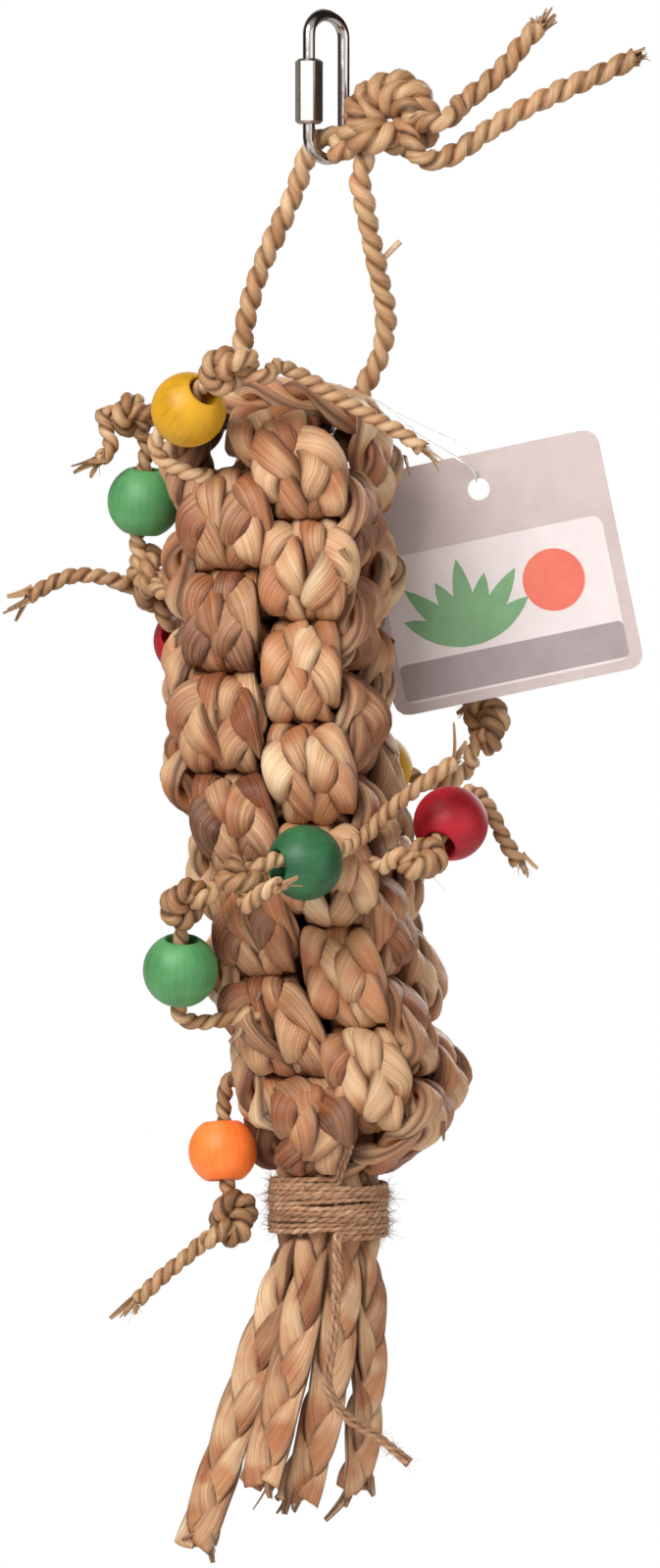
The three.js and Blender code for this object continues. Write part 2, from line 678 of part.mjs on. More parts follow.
// Bead cords: each a list of points, knots and beads in the order that the cord meets them. A knot
// has a place, a size beside the usual knot, and the side on which both its ends leave.
const knot = (place, size, side) => ({ place, size, side });
const cords = {
  cord_top: [
    [25.5, -29, -10.8], [19.7, -29, -6.5], [13.4, -29.5, -3.1], [7.4, -30, 0.3],
    [0.3, -31, 4.3], [-6.6, -32.5, 8.5], [-13, -35, 11],
    knot([-27, -40, 12], 0.92, [0.3, -0.3, 0.9]),
    'bead_yellow_top',
    [-45.5, -17.5, -9], [-43.5, -15.5, -13.5], [-38.8, -17, -16], [-34.2, -18.6, -17.8],
  ],
  cord_left: [
    [-61, 3, -12.5], [-58, 2.5, -9.5],
    knot([-46.5, 5.5, -2.5], 0.8, [-0.9, -0.3, 0.3]),
    'bead_green_left',
    knot([-50.5, 12.5, -41.5], 0.8, [-0.6, 0.6, 0.3]),
    [-46, 3.5, -46.5], [-40, -3, -50],
  ],
  cord_left_end: [
    [-80.5, 13, -49.2], [-75, 13, -46], [-69.4, 13.5, -43.6], [-62.3, 14.5, -43.4], [-56, 16.5, -45],
    knot([-46.5, 22, -51.5], 0.8, [-0.5, 0.3, -0.8]),
    'bead_red_left',
    [-27, 48, -64], [-20, 43, -67.5], [-15, 29, -70],
  ],
  cord_back: [
    [-14, 23, -82], [-8, 33.5, -86],
    'bead_yellow_back',
    [29, 40.5, -99.5], [35.5, 39, -98], [39.5, 37, -94],
    knot([43, 36, -84], 0.9, [0.9, 0.3, -0.2]),
    [38.5, 43, -77.5],
  ],
  cord_front: [
    [34, -34.5, -93.5], [27, -35.5, -98.5], [18, -31.6, -105.5], [10.5, -29.4, -113],
    'bead_green_middle',
    knot([-21.3, -53, -120.4], 0.95, [0.3, -0.5, -0.8]),
    [-17, -64.5, -128], [-12, -68, -125.5],
  ],
  cord_lower: [
    [-14, -25, -124], [-23, -33.5, -124.5], [-29, -34.5, -126],
    knot([-36.5, -32.5, -131], 0.78, [0.6, -0.8, 0.1]),
    'bead_green_lower',
    [-38.5, -21, -161.8], [-33.5, -20.5, -163], [-20, -22, -161],
  ],
  cord_right: [
    [8, -24, -119], [15.5, -32, -121.5],
    knot([25.5, -31, -121], 0.72, [0.6, -0.8, -0.2]),
    'bead_red_right',
    [40, -9.5, -102], [44, -8, -107], [47, -8, -113.5], [51.5, -8, -121],
  ],
  cord_orange: [
    [-26, -7, -179], [-27.4, -5.6, -184],
    'bead_orange',
    knot([-23.5, -6.5, -215.5], 0.85, [0.8, -0.5, 0.1]),
    [-32, -6.5, -221.5], [-38.5, -6.5, -227], [-44, -6.5, -231.5], [-50.8, -6.5, -238],
  ],
};

const cordStep = 1.7 * cordDiameter;
const boreInset = 0.8;

// Course of a bead cord: straight through its beads, knotted at its knots, smooth between.
function cordCourse(items) {
  const straight = (spec) => {
    const axis = vec(...spec.run).normalize();
    const half = (spec.diameter ?? beadDiameter) / 2 - boreInset;
    return [-1, -0.4, 0.4, 1].map((share) => beside(spec.at).addScaledVector(axis, share * half));
  };
  const opening = (item, last) => {
    if (typeof item === 'string') return straight(beads[item])[last ? 3 : 0];
    return beside(Array.isArray(item) ? item : item.place);
  };
  const path = [];
  const radii = [];
  let run = [];
  const flush = () => {
    if (run.length > 1) {
      smoothRun(run, cordStep).forEach((p) => {
        if (path.length && p.distanceTo(path.at(-1)) < cordDiameter / 9) return;
        path.push(p);
        radii.push(cordDiameter / 2);
      });
    }
    run = [];
  };
  items.forEach((item, i) => {
    if (typeof item === 'string') {
      run.push(...straight(beads[item]));
    } else if (Array.isArray(item)) {
      run.push(beside(item));
    } else {
      const centre = beside(item.place);
      const from = opening(items[i - 1], true).sub(centre).normalize();
      const to = opening(items[i + 1], false).sub(centre).normalize();
      const bisector = from.clone().add(to);
      const side = bisector.length() > bendEnough ? bisector : vec(...item.side);
      const frame = knotFrame(centre, from.sub(to), side);
      const size = cordDiameter * item.size;
      const lead = (sign) => vec(knotExit[0], sign * knotExit[1], sign * knotExit[2])
        .multiplyScalar(size)
        .applyMatrix4(frame);
      [[items[i - 1], 1], [items[i + 1], -1]].forEach(([next, sign]) => {
        if (typeof next !== 'string') return;
        const axis = vec(...beads[next].run).normalize();
        const off = beside(beads[next].at).sub(lead(sign));
        frame.setPosition(centre.addScaledVector(axis, -off.dot(axis)).add(off));
      });
      const course = knotCourse(knotMajor * size, knotMinor * size, 0, knotSteps)
        .map((p) => p.applyMatrix4(frame));
      run.push(lead(1), course[0]);
      flush();
      path.pop();
      radii.pop();
      course.forEach((p) => {
        path.push(p);
        radii.push((size * knotSqueeze) / 2);
      });
      run = [course.at(-1), lead(-1)];
    }
  });
  flush();
  return { path, radii };
}

function beadCords() {
  Object.entries(beads).forEach(([name, spec]) => bead(name, spec));
  Object.entries(cords).forEach(([name, items]) => {
    const { path, radii } = cordCourse(items);
    addPart(name, trimmed(tube(path, radii, cordSides), braidEnvelopes), 'seagrass');
    console.log(`${name}: least gap to itself ${leastSelfGap(path, radii).toFixed(2)} mm`);
  });
}

// Card tag: a rounded card that hangs by a hole near its upper edge, and the thin loop through it.
const tagDrop = 42.4;
const tagCentre = vec(45.9, 24, -topDepth - tagDrop);
const tagTilt = THREE.MathUtils.degToRad(11.7);
const tagYaw = THREE.MathUtils.degToRad(-6);
const tagGroup = new THREE.Group();

function cardTag() {
  const [w, h, r] = [tagWidth / 2, tagHeight / 2, tagCorner];
  const outline = new THREE.Shape();
  outline.absarc(w - r, h - r, r, 0, Math.PI / 2);
  outline.absarc(r - w, h - r, r, Math.PI / 2, Math.PI);
  outline.absarc(r - w, r - h, r, Math.PI, 1.5 * Math.PI);
  outline.absarc(w - r, r - h, r, 1.5 * Math.PI, 2 * Math.PI);
  const hole = new THREE.Path();
  hole.absarc(0, h - tagHoleDepth, tagHole / 2, 0, 2 * Math.PI, true);
  outline.holes.push(hole);
  const sheet = { depth: tagThickness, bevelEnabled: false, curveSegments: 6 };
  const card = new THREE.ExtrudeGeometry(outline, sheet)
    .translate(0, 0, -tagThickness / 2)
    .rotateX(Math.PI / 2);
  const mesh = new THREE.Mesh(card, finishes.card);
  mesh.name = 'hang_tag';
  mesh.rotation.y = -tagTilt;
  tagGroup.add(mesh);
  tagGroup.rotation.z = tagYaw;
  tagGroup.position.copy(tagCentre);
  toy.add(tagGroup);
}

// The loop goes through the hole, up behind the card, over its top edge and round the foot of the
// rope's right leg. Its places by the card are measured from the hole: to the right, back and up. Its
// places by the rope are heights over the top of the column.
const loopByCard = [
  [-0.4, -2.7, 3.2], [0, -1.5, 0.5], [0, 0, 0], [0, 1.4, 0.5],
  [-0.3, 1.8, 4], [-1.5, 1.6, 9.5], [-6, 0, 13.5],
];
const loopByRope = [
  [21, 17.5, -0.5], [13, 14.6, 4], [5.4, 12.4, 5.8], [6, 6.4, 5.5], [13, 6.8, 3.5], [25, 13.5, -5.5],
];
const loopSteps = 60;
function tagLoop() {
  const lift = tagHole / 2 - touchGap - loopDiameter / 2;
  const holeHeight = tagHeight / 2 - tagHoleDepth + lift;
  const byCard = loopByCard.map(([right, back, up]) => vec(right, back, holeHeight + up)
    .applyAxisAngle(vec(0, 1, 0), -tagTilt)
    .applyAxisAngle(vec(0, 0, 1), tagYaw)
    .add(tagCentre));
  const points = [...byCard, ...loopByRope.map(([x, y, height]) => vec(x, y, height - topDepth))];
  const curve = new THREE.CatmullRomCurve3(points, true, 'centripetal');
  const path = curve.getSpacedPoints(loopSteps).slice(0, -1);
  addPart('tag_loop', ringTube(path, loopDiameter / 2, twineSides), 'clearPlastic');
}

quickLink();
linkNut();
hangingRope();
sinnet();
tassel();
twineBinding();
beadCords();
cardTag();
tagLoop();

export default toy;
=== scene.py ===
"""Looks of a hanging bird toy: leaf braids tied as a square crown sinnet, twisted rope and cords,
painted beads, a quick link and a card tag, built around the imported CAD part.

Lengths are millimetres in the code and metres in Blender. X is right, Y away, Z up, and the origin is
the top of the quick link's eye.
"""

import math

import bpy
import numpy as np
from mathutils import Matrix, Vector


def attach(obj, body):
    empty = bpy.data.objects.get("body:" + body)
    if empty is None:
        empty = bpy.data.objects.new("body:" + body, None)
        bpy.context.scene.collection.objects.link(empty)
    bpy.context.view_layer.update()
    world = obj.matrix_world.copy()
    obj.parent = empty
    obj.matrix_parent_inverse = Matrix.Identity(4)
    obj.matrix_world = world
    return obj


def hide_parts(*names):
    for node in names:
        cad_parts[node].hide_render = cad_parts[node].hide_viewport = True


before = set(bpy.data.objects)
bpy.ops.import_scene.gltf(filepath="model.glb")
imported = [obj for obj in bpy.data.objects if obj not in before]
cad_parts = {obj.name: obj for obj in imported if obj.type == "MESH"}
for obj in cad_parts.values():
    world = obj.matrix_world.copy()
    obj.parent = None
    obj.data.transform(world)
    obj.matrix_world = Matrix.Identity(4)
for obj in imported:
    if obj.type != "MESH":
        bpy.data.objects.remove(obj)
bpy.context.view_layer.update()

bl_info = {
    "name": "Hanging bird toy",
    "version": (1, 0, 0),
    "blender": (4, 5, 0),
    "location": "View3D > Sidebar > Bird toy",
    "description": "Builds the visual layer of a braided hanging bird toy",
    "category": "Add Mesh",
}

MM = 0.001
TURN = 2 * math.pi
TINY = 1e-9

# Crown sinnet, as in the CAD part
TOUCH_GAP = 0.3
CROWNS = 13
PASS_WIDTH = 7.0
PASS_THICKNESS = 6.0
LEVEL_STEP = PASS_THICKNESS + 0.75
CROWN_PITCH = 2 * LEVEL_STEP
PAIR_GAP = 0.4
LOBE_WIDTH = 11.4
LOBE_THICKNESS = 10.2
LOBE_BULGE = 5.0
CORE_HOLE = 7.4
FACE_MARGIN = 1.3
SEAM_CLOSE = 1.2
TOP_PASS_WIDTH = 8.8
TOP_DEPTH = 105.0
COLUMN_TURN = math.radians(-13)
ROPE_DIAMETER = 5.8
ROPE_SEAT = PASS_THICKNESS / 2 + TOUCH_GAP + ROPE_DIAMETER / 2
BIGHT_DEPTH = -TOP_DEPTH - LEVEL_STEP - ROPE_SEAT

# Tassel, twine and cords
ENDS = 8
NECK_LENGTH = 16.0
BUNDLE_RADIUS = 9.5
BUNDLE_WIDTH = 7.0
BUNDLE_THICKNESS = 8.6
TAIL_WIDTH = 12.4
TAIL_THICKNESS = 8.5
TWINE_DIAMETER = 1.9
TWINE_PITCH = 2.4
TWINE_TURNS = 6
CORD_DIAMETER = 4.5
BEAD_DIAMETER = 20.0
SMALL_BEAD_DIAMETER = 18.4
BEAD_BORE = 8.6

# Quick link and tag
LINK_WIRE = 3.5
LINK_HEIGHT = 42.0
LINK_WIDTH = 18.0
LINK_STRAIGHT = 27.0
LINK_TURN = math.radians(50)
NUT_FLATS = 6.8
NUT_LENGTH = 17.4
NUT_TOP = -10.5
TAG_SIZE = (69.0, 66.0)
TAG_THICKNESS = 0.6
TAG_CENTRE = (45.9, 24.0, -TOP_DEPTH - 42.4)
TAG_TILT = math.radians(11.7)
TAG_YAW = math.radians(-6)
TAG_HOLE = 6.0
TAG_HOLE_DEPTH = 9.8
TAG_HOLE_HEIGHT = TAG_SIZE[1] / 2 - TAG_HOLE_DEPTH

# The photograph: millimetres in a pixel, its size, and the pixel where the toy's origin lies
PIXEL = 0.263
PHOTO = (673, 1600)
PHOTO_ORIGIN = (333, 22)


# Lines and directions

def unit(v):
    """The direction of v, or of each row of v."""
    v = np.asarray(v, float)
    return v / np.maximum(np.linalg.norm(v, axis=-1, keepdims=True), TINY)


def mix(a, b, share):
    """a at share 0, b at share 1."""
    return a + (b - a) * share


def smoothstep(x, low, high):
    """3t^2 - 2t^3 with t the share of x between low and high."""
    t = np.clip((x - low) / (high - low), 0, 1)
    return t * t * (3 - 2 * t)


def hermite(start, end, leave, arrive, t):
    """The cubic from start to end, with the slopes leave and arrive, at shares t."""
    return (
        (2 * t**3 - 3 * t**2 + 1) * start + (t**3 - 2 * t**2 + t) * leave
        + (3 * t**2 - 2 * t**3) * end + (t**3 - t**2) * arrive
    )


def angles(count):
    """Equal angles round a circle, from 0."""
    return TURN * np.arange(count) / count


def on_circle(angle):
    """(cos a, sin a) of each angle."""
    return np.stack([np.cos(angle), np.sin(angle)], -1)


def turn_z(p, angle):
    """Points turned about Z."""
    p = np.asarray(p, float)
    c, s = math.cos(angle), math.sin(angle)
    return np.stack([p[..., 0] * c - p[..., 1] * s, p[..., 0] * s + p[..., 1] * c, p[..., 2]], -1)


def catmull(points, counts):
    """Centripetal Catmull-Rom through points with counts[i] samples on span i, and each sample's place.

    Spans are timed by the square root of their chord, and the ends are mirrored. A place is the span's
    number plus the share of the span passed.
    """
    pts = np.asarray(points, float)
    ext = np.vstack([2 * pts[0] - pts[1], pts, 2 * pts[-1] - pts[-2]])
    samples = []
    places = []
    for i, count in enumerate(counts):
        p0, p1, p2, p3 = ext[i:i + 4]
        d = np.maximum(np.sqrt(np.linalg.norm(np.diff(ext[i:i + 4], axis=0), axis=1)), TINY)
        leave = d[1] * ((p1 - p0) / d[0] - (p2 - p0) / (d[0] + d[1]) + (p2 - p1) / d[1])
        arrive = d[1] * ((p2 - p1) / d[1] - (p3 - p1) / (d[1] + d[2]) + (p3 - p2) / d[2])
        t = (np.arange(count) / count)[:, None]
        samples.append(hermite(p1, p2, leave, arrive, t))
        places.append(i + t[:, 0])
    samples.append(pts[-1:])
    places.append([len(counts)])
    return np.vstack(samples), np.concatenate(places)


def smooth_line(points, count):
    """A smooth line through points, with count samples on each span."""
    return catmull(points, [count] * (len(points) - 1))[0]


def lengths(points):
    """Distance walked along points up to each."""
    return np.concatenate([[0], np.cumsum(np.linalg.norm(np.diff(points, axis=0), axis=1))])


def read_off(at, known, points):
    """Points between those at the known distances, by straight interpolation."""
    return np.stack([np.interp(at, known, column) for column in np.transpose(points)], -1)


def even(points, step, *others):
    """Points at equal steps along a line, with other values carried along."""
    walked = lengths(points)
    count = max(2, int(round(walked[-1] / step)) + 1)
    at = np.linspace(0, walked[-1], count)
    return (read_off(at, walked, points), at, *[np.interp(at, walked, values) for values in others])


def tangents(points):
    """Unit directions of travel by central differences."""
    return unit(np.gradient(points, axis=0))


STEEP = 0.9


def carried_frame(points):
    """Two directions across a line at each point, turned as little as possible on the way."""
    along = tangents(points)
    first = np.array([0, 0, 1.0]) if abs(along[0, 2]) < STEEP else np.array([1.0, 0, 0])
    across = np.empty_like(points)
    across[0] = unit(first - along[0] * first.dot(along[0]))
    for i in range(1, len(points)):
        moved = across[i - 1] - along[i] * across[i - 1].dot(along[i])
        across[i] = moved / np.linalg.norm(moved)
    return across, np.cross(along, across)


def rings_round(points, across, third, radius):
    """Rings at points: radius (n, m) at m angles between the directions across and third."""
    round_it = on_circle(angles(radius.shape[1]))
    out = across[:, None] * round_it[None, :, :1] + third[:, None] * round_it[None, :, 1:]
    return points[:, None] + out * radius[..., None]


def tube(line, radius, around):
    """Round rings along a line, with one radius or one for each point (n, 1)."""
    return rings_round(line, *carried_frame(line), np.broadcast_to(radius, (len(line), around)))


# Radians over which a random start is drawn
ANY_START = 6


def waves(at, terms, rng):
    """The sum of h sin(s / l + a random start) over terms (h, l)."""
    return sum(height * np.sin(at / length + rng.uniform(0, ANY_START)) for height, length in terms)


def wander(at, spacing, rng):
    """Smooth random values from 0 to 1 along a length, with a new one about every spacing."""
    knots = np.arange(at[0], at[-1] + 2 * spacing, spacing)
    place = (at - at[0]) / spacing
    i = np.minimum(place.astype(int), len(knots) - 2)
    values = rng.uniform(0, 1, len(knots))
    return mix(values[i], values[i + 1], smoothstep(place - i, 0, 1))


PLAIN_TONE = 0.5


class Mesh:
    """Gathers grids and flat faces into one mesh, with UVs, a tone per vertex and a material per face."""

    def __init__(self):
        """Starts with nothing."""
        self.points = []
        self.tones = []
        self.corners = []
        self.uvs = []
        self.sizes = []
        self.slots = []
        self.count = 0

    def vertices(self, points, tones):
        """Adds points with their tones, and gives the number of the first."""
        first = self.count
        self.points.append(points)
        self.tones.append(tones)
        self.count += len(points)
        return first

    def faces(self, corners, uvs, slot):
        """Adds faces from vertex numbers (f, c) and a UV for each corner."""
        self.corners.append(corners.ravel())
        self.uvs.append(uvs.reshape(-1, 2))
        self.sizes.append(np.full(len(corners), corners.shape[1]))
        self.slots.append(np.full(len(corners), slot))

    def grid(self, rings, along, tone=PLAIN_TONE, closed=True, caps=True, slot=0, cap_slot=0, loop=False):
        """A skin over rings (n, m, 3); u runs round each ring and v is the millimetres along."""
        n, m = rings.shape[:2]
        tone = np.asarray(tone, float)
        tone = tone if tone.ndim == 2 else tone.reshape(-1, 1)
        first = self.vertices(rings.reshape(-1, 3), np.broadcast_to(tone, (n, m)).ravel())
        span = m if closed else m - 1
        i, j = np.indices((n if loop else n - 1, span)).reshape(2, -1)
        v = np.append(along, 2 * along[-1] - along[-2])
        steps = ((0, 0), (0, 1), (1, 1), (1, 0))
        corners = [first + (i + far) % n * m + (j + beyond) % m for far, beyond in steps]
        uvs = [np.stack([(j + beyond) / span, v[i + far]], -1) for far, beyond in steps]
        self.faces(np.stack(corners, -1), np.stack(uvs, 1), slot)
        if closed and caps and not loop:
            ring = np.arange(m)
            for order, at in ((ring[::-1], 0), (ring, n - 1)):
                disc = 0.5 + 0.5 * on_circle(TURN * order / m)
                self.faces(first + at * m + order[None], disc, cap_slot)

    def flat(self, outline, slot=0):
        """One flat face over an outline, facing where it is seen to run anticlockwise."""
        first = self.vertices(outline, np.full(len(outline), PLAIN_TONE))
        self.faces(first + np.arange(len(outline))[None], outline[:, [0, 2]], slot)

    def build(self, name, *materials, smooth=True):
        """The Blender object, at the origin."""
        sizes = np.concatenate(self.sizes)
        corners = np.concatenate(self.corners)
        data = bpy.data.meshes.new(name)
        data.vertices.add(self.count)
        data.vertices.foreach_set("co", (np.vstack(self.points) * MM).ravel())
        data.loops.add(len(corners))
        data.loops.foreach_set("vertex_index", corners)
        data.polygons.add(len(sizes))
        data.polygons.foreach_set("loop_start", np.concatenate([[0], np.cumsum(sizes)[:-1]]))
        data.polygons.foreach_set("loop_total", sizes)
        data.polygons.foreach_set("material_index", np.concatenate(self.slots))
        data.polygons.foreach_set("use_smooth", np.full(len(sizes), smooth))
        data.uv_layers.new(name="grain").data.foreach_set("uv", np.vstack(self.uvs).ravel())
        tone = data.attributes.new("tone", "FLOAT", "POINT")
        tone.data.foreach_set("value", np.concatenate(self.tones))
        for finish in materials:
            data.materials.append(material(finish))
        data.update()
        data.validate()
        made = bpy.data.objects.new(name, data)
        bpy.context.scene.collection.objects.link(made)
        return made


# The sinnet's course

def pass_row(row):
    """How far an inner pass lies beside the axis: half the core hole, then one pass for each row."""
    return CORE_HOLE / 2 + PASS_WIDTH / 2 + row * (PASS_WIDTH + PAIR_GAP)


def lobe_row(row):
    """How far a lobe lies beside the axis: one lobe for each row, with the seam drawn closed."""
    return PAIR_GAP / 2 + LOBE_WIDTH / 2 + row * (LOBE_WIDTH + PAIR_GAP) - SEAM_CLOSE


def crown_middle(crown):
    """Height midway between a crown's two levels: one pitch lower for each crown below the rope."""
    return BIGHT_DEPTH - ROPE_SEAT - LEVEL_STEP / 2 - (crown - 1) * CROWN_PITCH


PASS_END = pass_row(1) + PASS_WIDTH / 2 + FACE_MARGIN
BINDING_TOP = crown_middle(CROWNS) - LEVEL_STEP / 2 - NECK_LENGTH
BINDING_BOTTOM = BINDING_TOP - TWINE_TURNS * TWINE_PITCH - 2 * TWINE_DIAMETER
BINDING_MIDDLE = (BINDING_TOP + BINDING_BOTTOM) / 2

# How the column leans: share of its height from the top, and sideways place
LEAN = np.array([
    (0.2, -11.7), (0.47, -12), (0.66, -6), (0.84, -0.5), (0.97, 7), (1.04, 5), (1.095, 0.5),
])


def lean_at(z):
    """Sideways place of the leaning column's axis at each height: a cubic through the stations."""
    depth = -TOP_DEPTH + LEAN[:, 0] * (crown_middle(CROWNS) + TOP_DEPTH)
    z = np.clip(np.asarray(z, float), depth[-1], depth[0])
    i = np.clip(np.searchsorted(-depth, -z, side="left"), 1, len(depth) - 1)
    number = np.arange(len(depth))
    before = np.maximum(number - 1, 0)
    after = np.minimum(number + 1, number[-1])
    slope = (LEAN[after, 1] - LEAN[before, 1]) / (depth[after] - depth[before])
    wide = depth[i] - depth[i - 1]
    t = (z - depth[i - 1]) / wide
    return hermite(LEAN[i - 1, 1], LEAN[i, 1], slope[i - 1] * wide, slope[i] * wide, t)


def to_toy(p):
    """From the column's square frame to the toy's: turned about the axis, then leaned."""
    p = turn_z(p, COLUMN_TURN)
    p[..., 0] += lean_at(p[..., 2])
    return p


# Room for the tag's upper corner, which swings past a lobe at the back
TAG_ROOM_AT = np.array([8.0, 26.8, -131.0])
TAG_ROOM_REACH = 12.0
TAG_ROOM_WAY = np.array([-2.6, -2.0, 0])


def leaf_to_toy(p):
    """To the toy's frame, and drawn in by (1 - (r / R)^2)^2 within R of where the tag's corner passes."""
    p = to_toy(p)
    near = ((p - TAG_ROOM_AT) ** 2).sum(-1, keepdims=True) / TAG_ROOM_REACH**2
    return p + TAG_ROOM_WAY * np.clip(1 - near, 0, 1) ** 2


RING_START = 1.81


def ring_angle(side, row):
    """Where an end stands in the tassel's ring of eight: one step back for each row."""
    return side * TURN / ENDS * (RING_START - row)


# Leaves swell past the plain CAD band, most where it is drawn in
TOP_ARCH = 3.5
TOP_THICKNESS = LOBE_THICKNESS - 1
TOP_FULLNESS = 1.8
TOP_EDGE_FULLNESS = 1.5
LEAF_WIDTH_GAIN = 0.73
LEAF_WIDTH_MORE = 5.7
LEAF_THICKNESS_GAIN = 0.6
LEAF_THICKNESS_MORE = 6.6
LOBE_PLUMPNESS = 1.2
CORNER_WRAP = math.radians(22)
BUNDLE_FULLNESS = 1.3
BUNDLE = (BUNDLE_WIDTH * BUNDLE_FULLNESS, BUNDLE_THICKNESS * BUNDLE_FULLNESS)

# The neck starts this far out, and its stations are: share of the drop, of the way in and of the turn,
# width, thickness, and how far the front pair is shifted
NECK_BULGE = 0.75 * LOBE_BULGE
NECK_SPREAD = 0.8
NECK_FULLNESS = 2.0
NECK = ((0.16, 0, 0.1, 7.8, 7.4, 5.0), (0.43, -0.04, 0.25, 7.8, 7.8, 9.5), (0.78, 0.5, 0.7, 6.7, 7.4, 5.5))
FRONT = 2

# Samples from a station to the next
PASS_SAMPLES = 3
BUNDLE_SAMPLES = 6
LOBE_SAMPLES = 7
NECK_SAMPLES = 8
TOP_SAMPLES = 10

# How far hand-tied lobes stray: aside and out in mm, share of width, and turn
LOBE_UNEVEN = np.array([3.1, 0.9, 0.12, math.radians(21)])
LOBE_SEED = 100


def half_braid(quarter, row):
    """Stations of half a braid: place, direction of width, width, thickness, samples to the next.

    The half zigzags in one upright plane. It crosses the column low, then high, and turns down to the
    next crown in a lobe: y = end + bulge sin(a), z falling by (1 - cos a) / 2, swelling by sin^1.2 a.
    """
    rows = []
    rng = np.random.default_rng(LOBE_SEED + 2 * (quarter % 4) + row)

    def put(x, y, z, width, thickness, facing=0.0, count=PASS_SAMPLES, full=1.0, shift=0.0):
        """Adds a station in the column's frame, its section swollen by the share full."""
        spin = quarter * math.pi / 2
        at = turn_z([x, y, z], spin) + (shift, 0, 0)
        across = turn_z([math.cos(facing), math.sin(facing), 0], spin)
        wide = mix(width, LEAF_WIDTH_GAIN * width + LEAF_WIDTH_MORE, full)
        thick = mix(thickness, LEAF_THICKNESS_GAIN * thickness + LEAF_THICKNESS_MORE, full)
        rows.append((at, across, wide, thick, count))

    def lobe(side, top, low, row_from, row_mid, row_to, width_from):
        """Adds a lobe's three stations, strayed a little at random."""
        aside, out, size, turned = rng.uniform(-1, 1, 4) * LOBE_UNEVEN
        for angle in (math.pi / 4, math.pi / 2, 3 * math.pi / 4):
            swell = math.sin(angle) ** 2
            plump = math.sin(angle) ** LOBE_PLUMPNESS
            share = (1 - math.cos(angle)) / 2
            put(
                mix(row_from, row_to, share) + (row_mid + aside - (row_from + row_to) / 2) * swell,
                side * (PASS_END + (LOBE_BULGE + out) * math.sin(angle)),
                mix(top, low, share),
                mix(mix(width_from, PASS_WIDTH, share), LOBE_WIDTH * (1 + size), plump),
                mix(PASS_THICKNESS, LOBE_THICKNESS, plump),
                facing=(turned - side * CORNER_WRAP * row) * swell,
                count=LOBE_SAMPLES,
            )

    side = -1
    x = pass_row(row)
    start = -TOP_DEPTH - (LEVEL_STEP if quarter % 2 == 0 else 0)
    top_row = (row - 0.5) * (TOP_PASS_WIDTH + PAIR_GAP)
    top = (TOP_PASS_WIDTH, TOP_THICKNESS)
    put(top_row, side * PASS_END / 3, start + TOP_ARCH, *top, count=TOP_SAMPLES, full=TOP_FULLNESS)
    put(top_row, side * PASS_END, start, *top, count=LOBE_SAMPLES, full=TOP_EDGE_FULLNESS)
    shift = (pass_row(0) + pass_row(1)) / 4 + FACE_MARGIN * 2
    top_mid = shift + (row - 0.5) * (LOBE_WIDTH + PAIR_GAP)
    lobe(side, start, crown_middle(1) - LEVEL_STEP / 2, top_row, top_mid, x, TOP_PASS_WIDTH)
    for crown in range(1, CROWNS + 1):
        low = crown_middle(crown) - LEVEL_STEP / 2
        high = crown_middle(crown) + LEVEL_STEP / 2
        put(x, side * PASS_END, low, PASS_WIDTH, PASS_THICKNESS)
        put(x, side * CORE_HOLE / 2, low, PASS_WIDTH, PASS_THICKNESS)
        side = -side
        put(x, side * CORE_HOLE / 2, high, PASS_WIDTH, PASS_THICKNESS)
        put(x, side * PASS_END, high, PASS_WIDTH, PASS_THICKNESS, count=LOBE_SAMPLES)
        if crown < CROWNS:
            lobe(side, high, low - CROWN_PITCH, x, lobe_row(row), x, PASS_WIDTH)
    angle = ring_angle(side, row)
    ring = (BUNDLE_RADIUS * math.cos(angle), BUNDLE_RADIUS * math.sin(angle))
    facing = (angle if angle > 0 else angle + math.pi) - math.pi / 2
    out = (x + NECK_SPREAD * row, side * (PASS_END + NECK_BULGE))
    for drop, inward, turned, width, thickness, shift in NECK:
        put(
            mix(out[0], ring[0], inward),
            mix(out[1], ring[1], inward),
            mix(high, BINDING_TOP, drop),
            width,
            thickness,
            facing=facing * turned,
            count=NECK_SAMPLES,
            full=NECK_FULLNESS - drop,
            shift=shift if quarter == FRONT else 0,
        )
    put(*ring, BINDING_TOP + TWINE_DIAMETER, *BUNDLE, facing, count=BUNDLE_SAMPLES, full=0)
    put(*ring, BINDING_MIDDLE, *BUNDLE, facing, full=0)
    return rows


def band_course(rows, counts):
    """A smooth course through stations: points, width directions, widths and thicknesses."""
    line, place = catmull([r[0] for r in rows], counts)
    known = np.arange(len(rows))
    across = unit(read_off(place, known, [r[1] for r in rows]))
    width, thickness = read_off(place, known, [r[2:4] for r in rows]).T
    return line, across, width, thickness


# Three flat strands: shares of the braid's width and thickness, in its middle and at its edge
STRANDS = 3
STRAND_AROUND = 20
STRAND_WIDTH = (0.78, 0.62)
STRAND_THICKNESS = (0.31, 0.39)
STRAND_SWING = 0.34
STRAND_LIFT = 0.22
STRAND_ROLL = 0.42
STRAND_UNEVEN = (0.92, 1.08)
UNEVEN_SPACING = 21
FOLD = 6

# Creases: number round the strand, share of its thickness, and millimetres between changes
CREASES = ((3, 0.04, 26), (7, 0.025, 17), (10, 0.02, 13))
CREASE_DRIFT = 5

# Tones change over a short and a long stretch, and a strand is darkened with painted shade
# where it goes under its neighbours
TONE_SPACINGS = (30, 110)
UNDER_SHADE = 0.42
UNDER_MEAN = 0.3
UNDER_POWER = 1.5

# Each strand reads the grain from a place of its own, and its cut ends have the second material
GRAIN_START = 500
CUT = 1


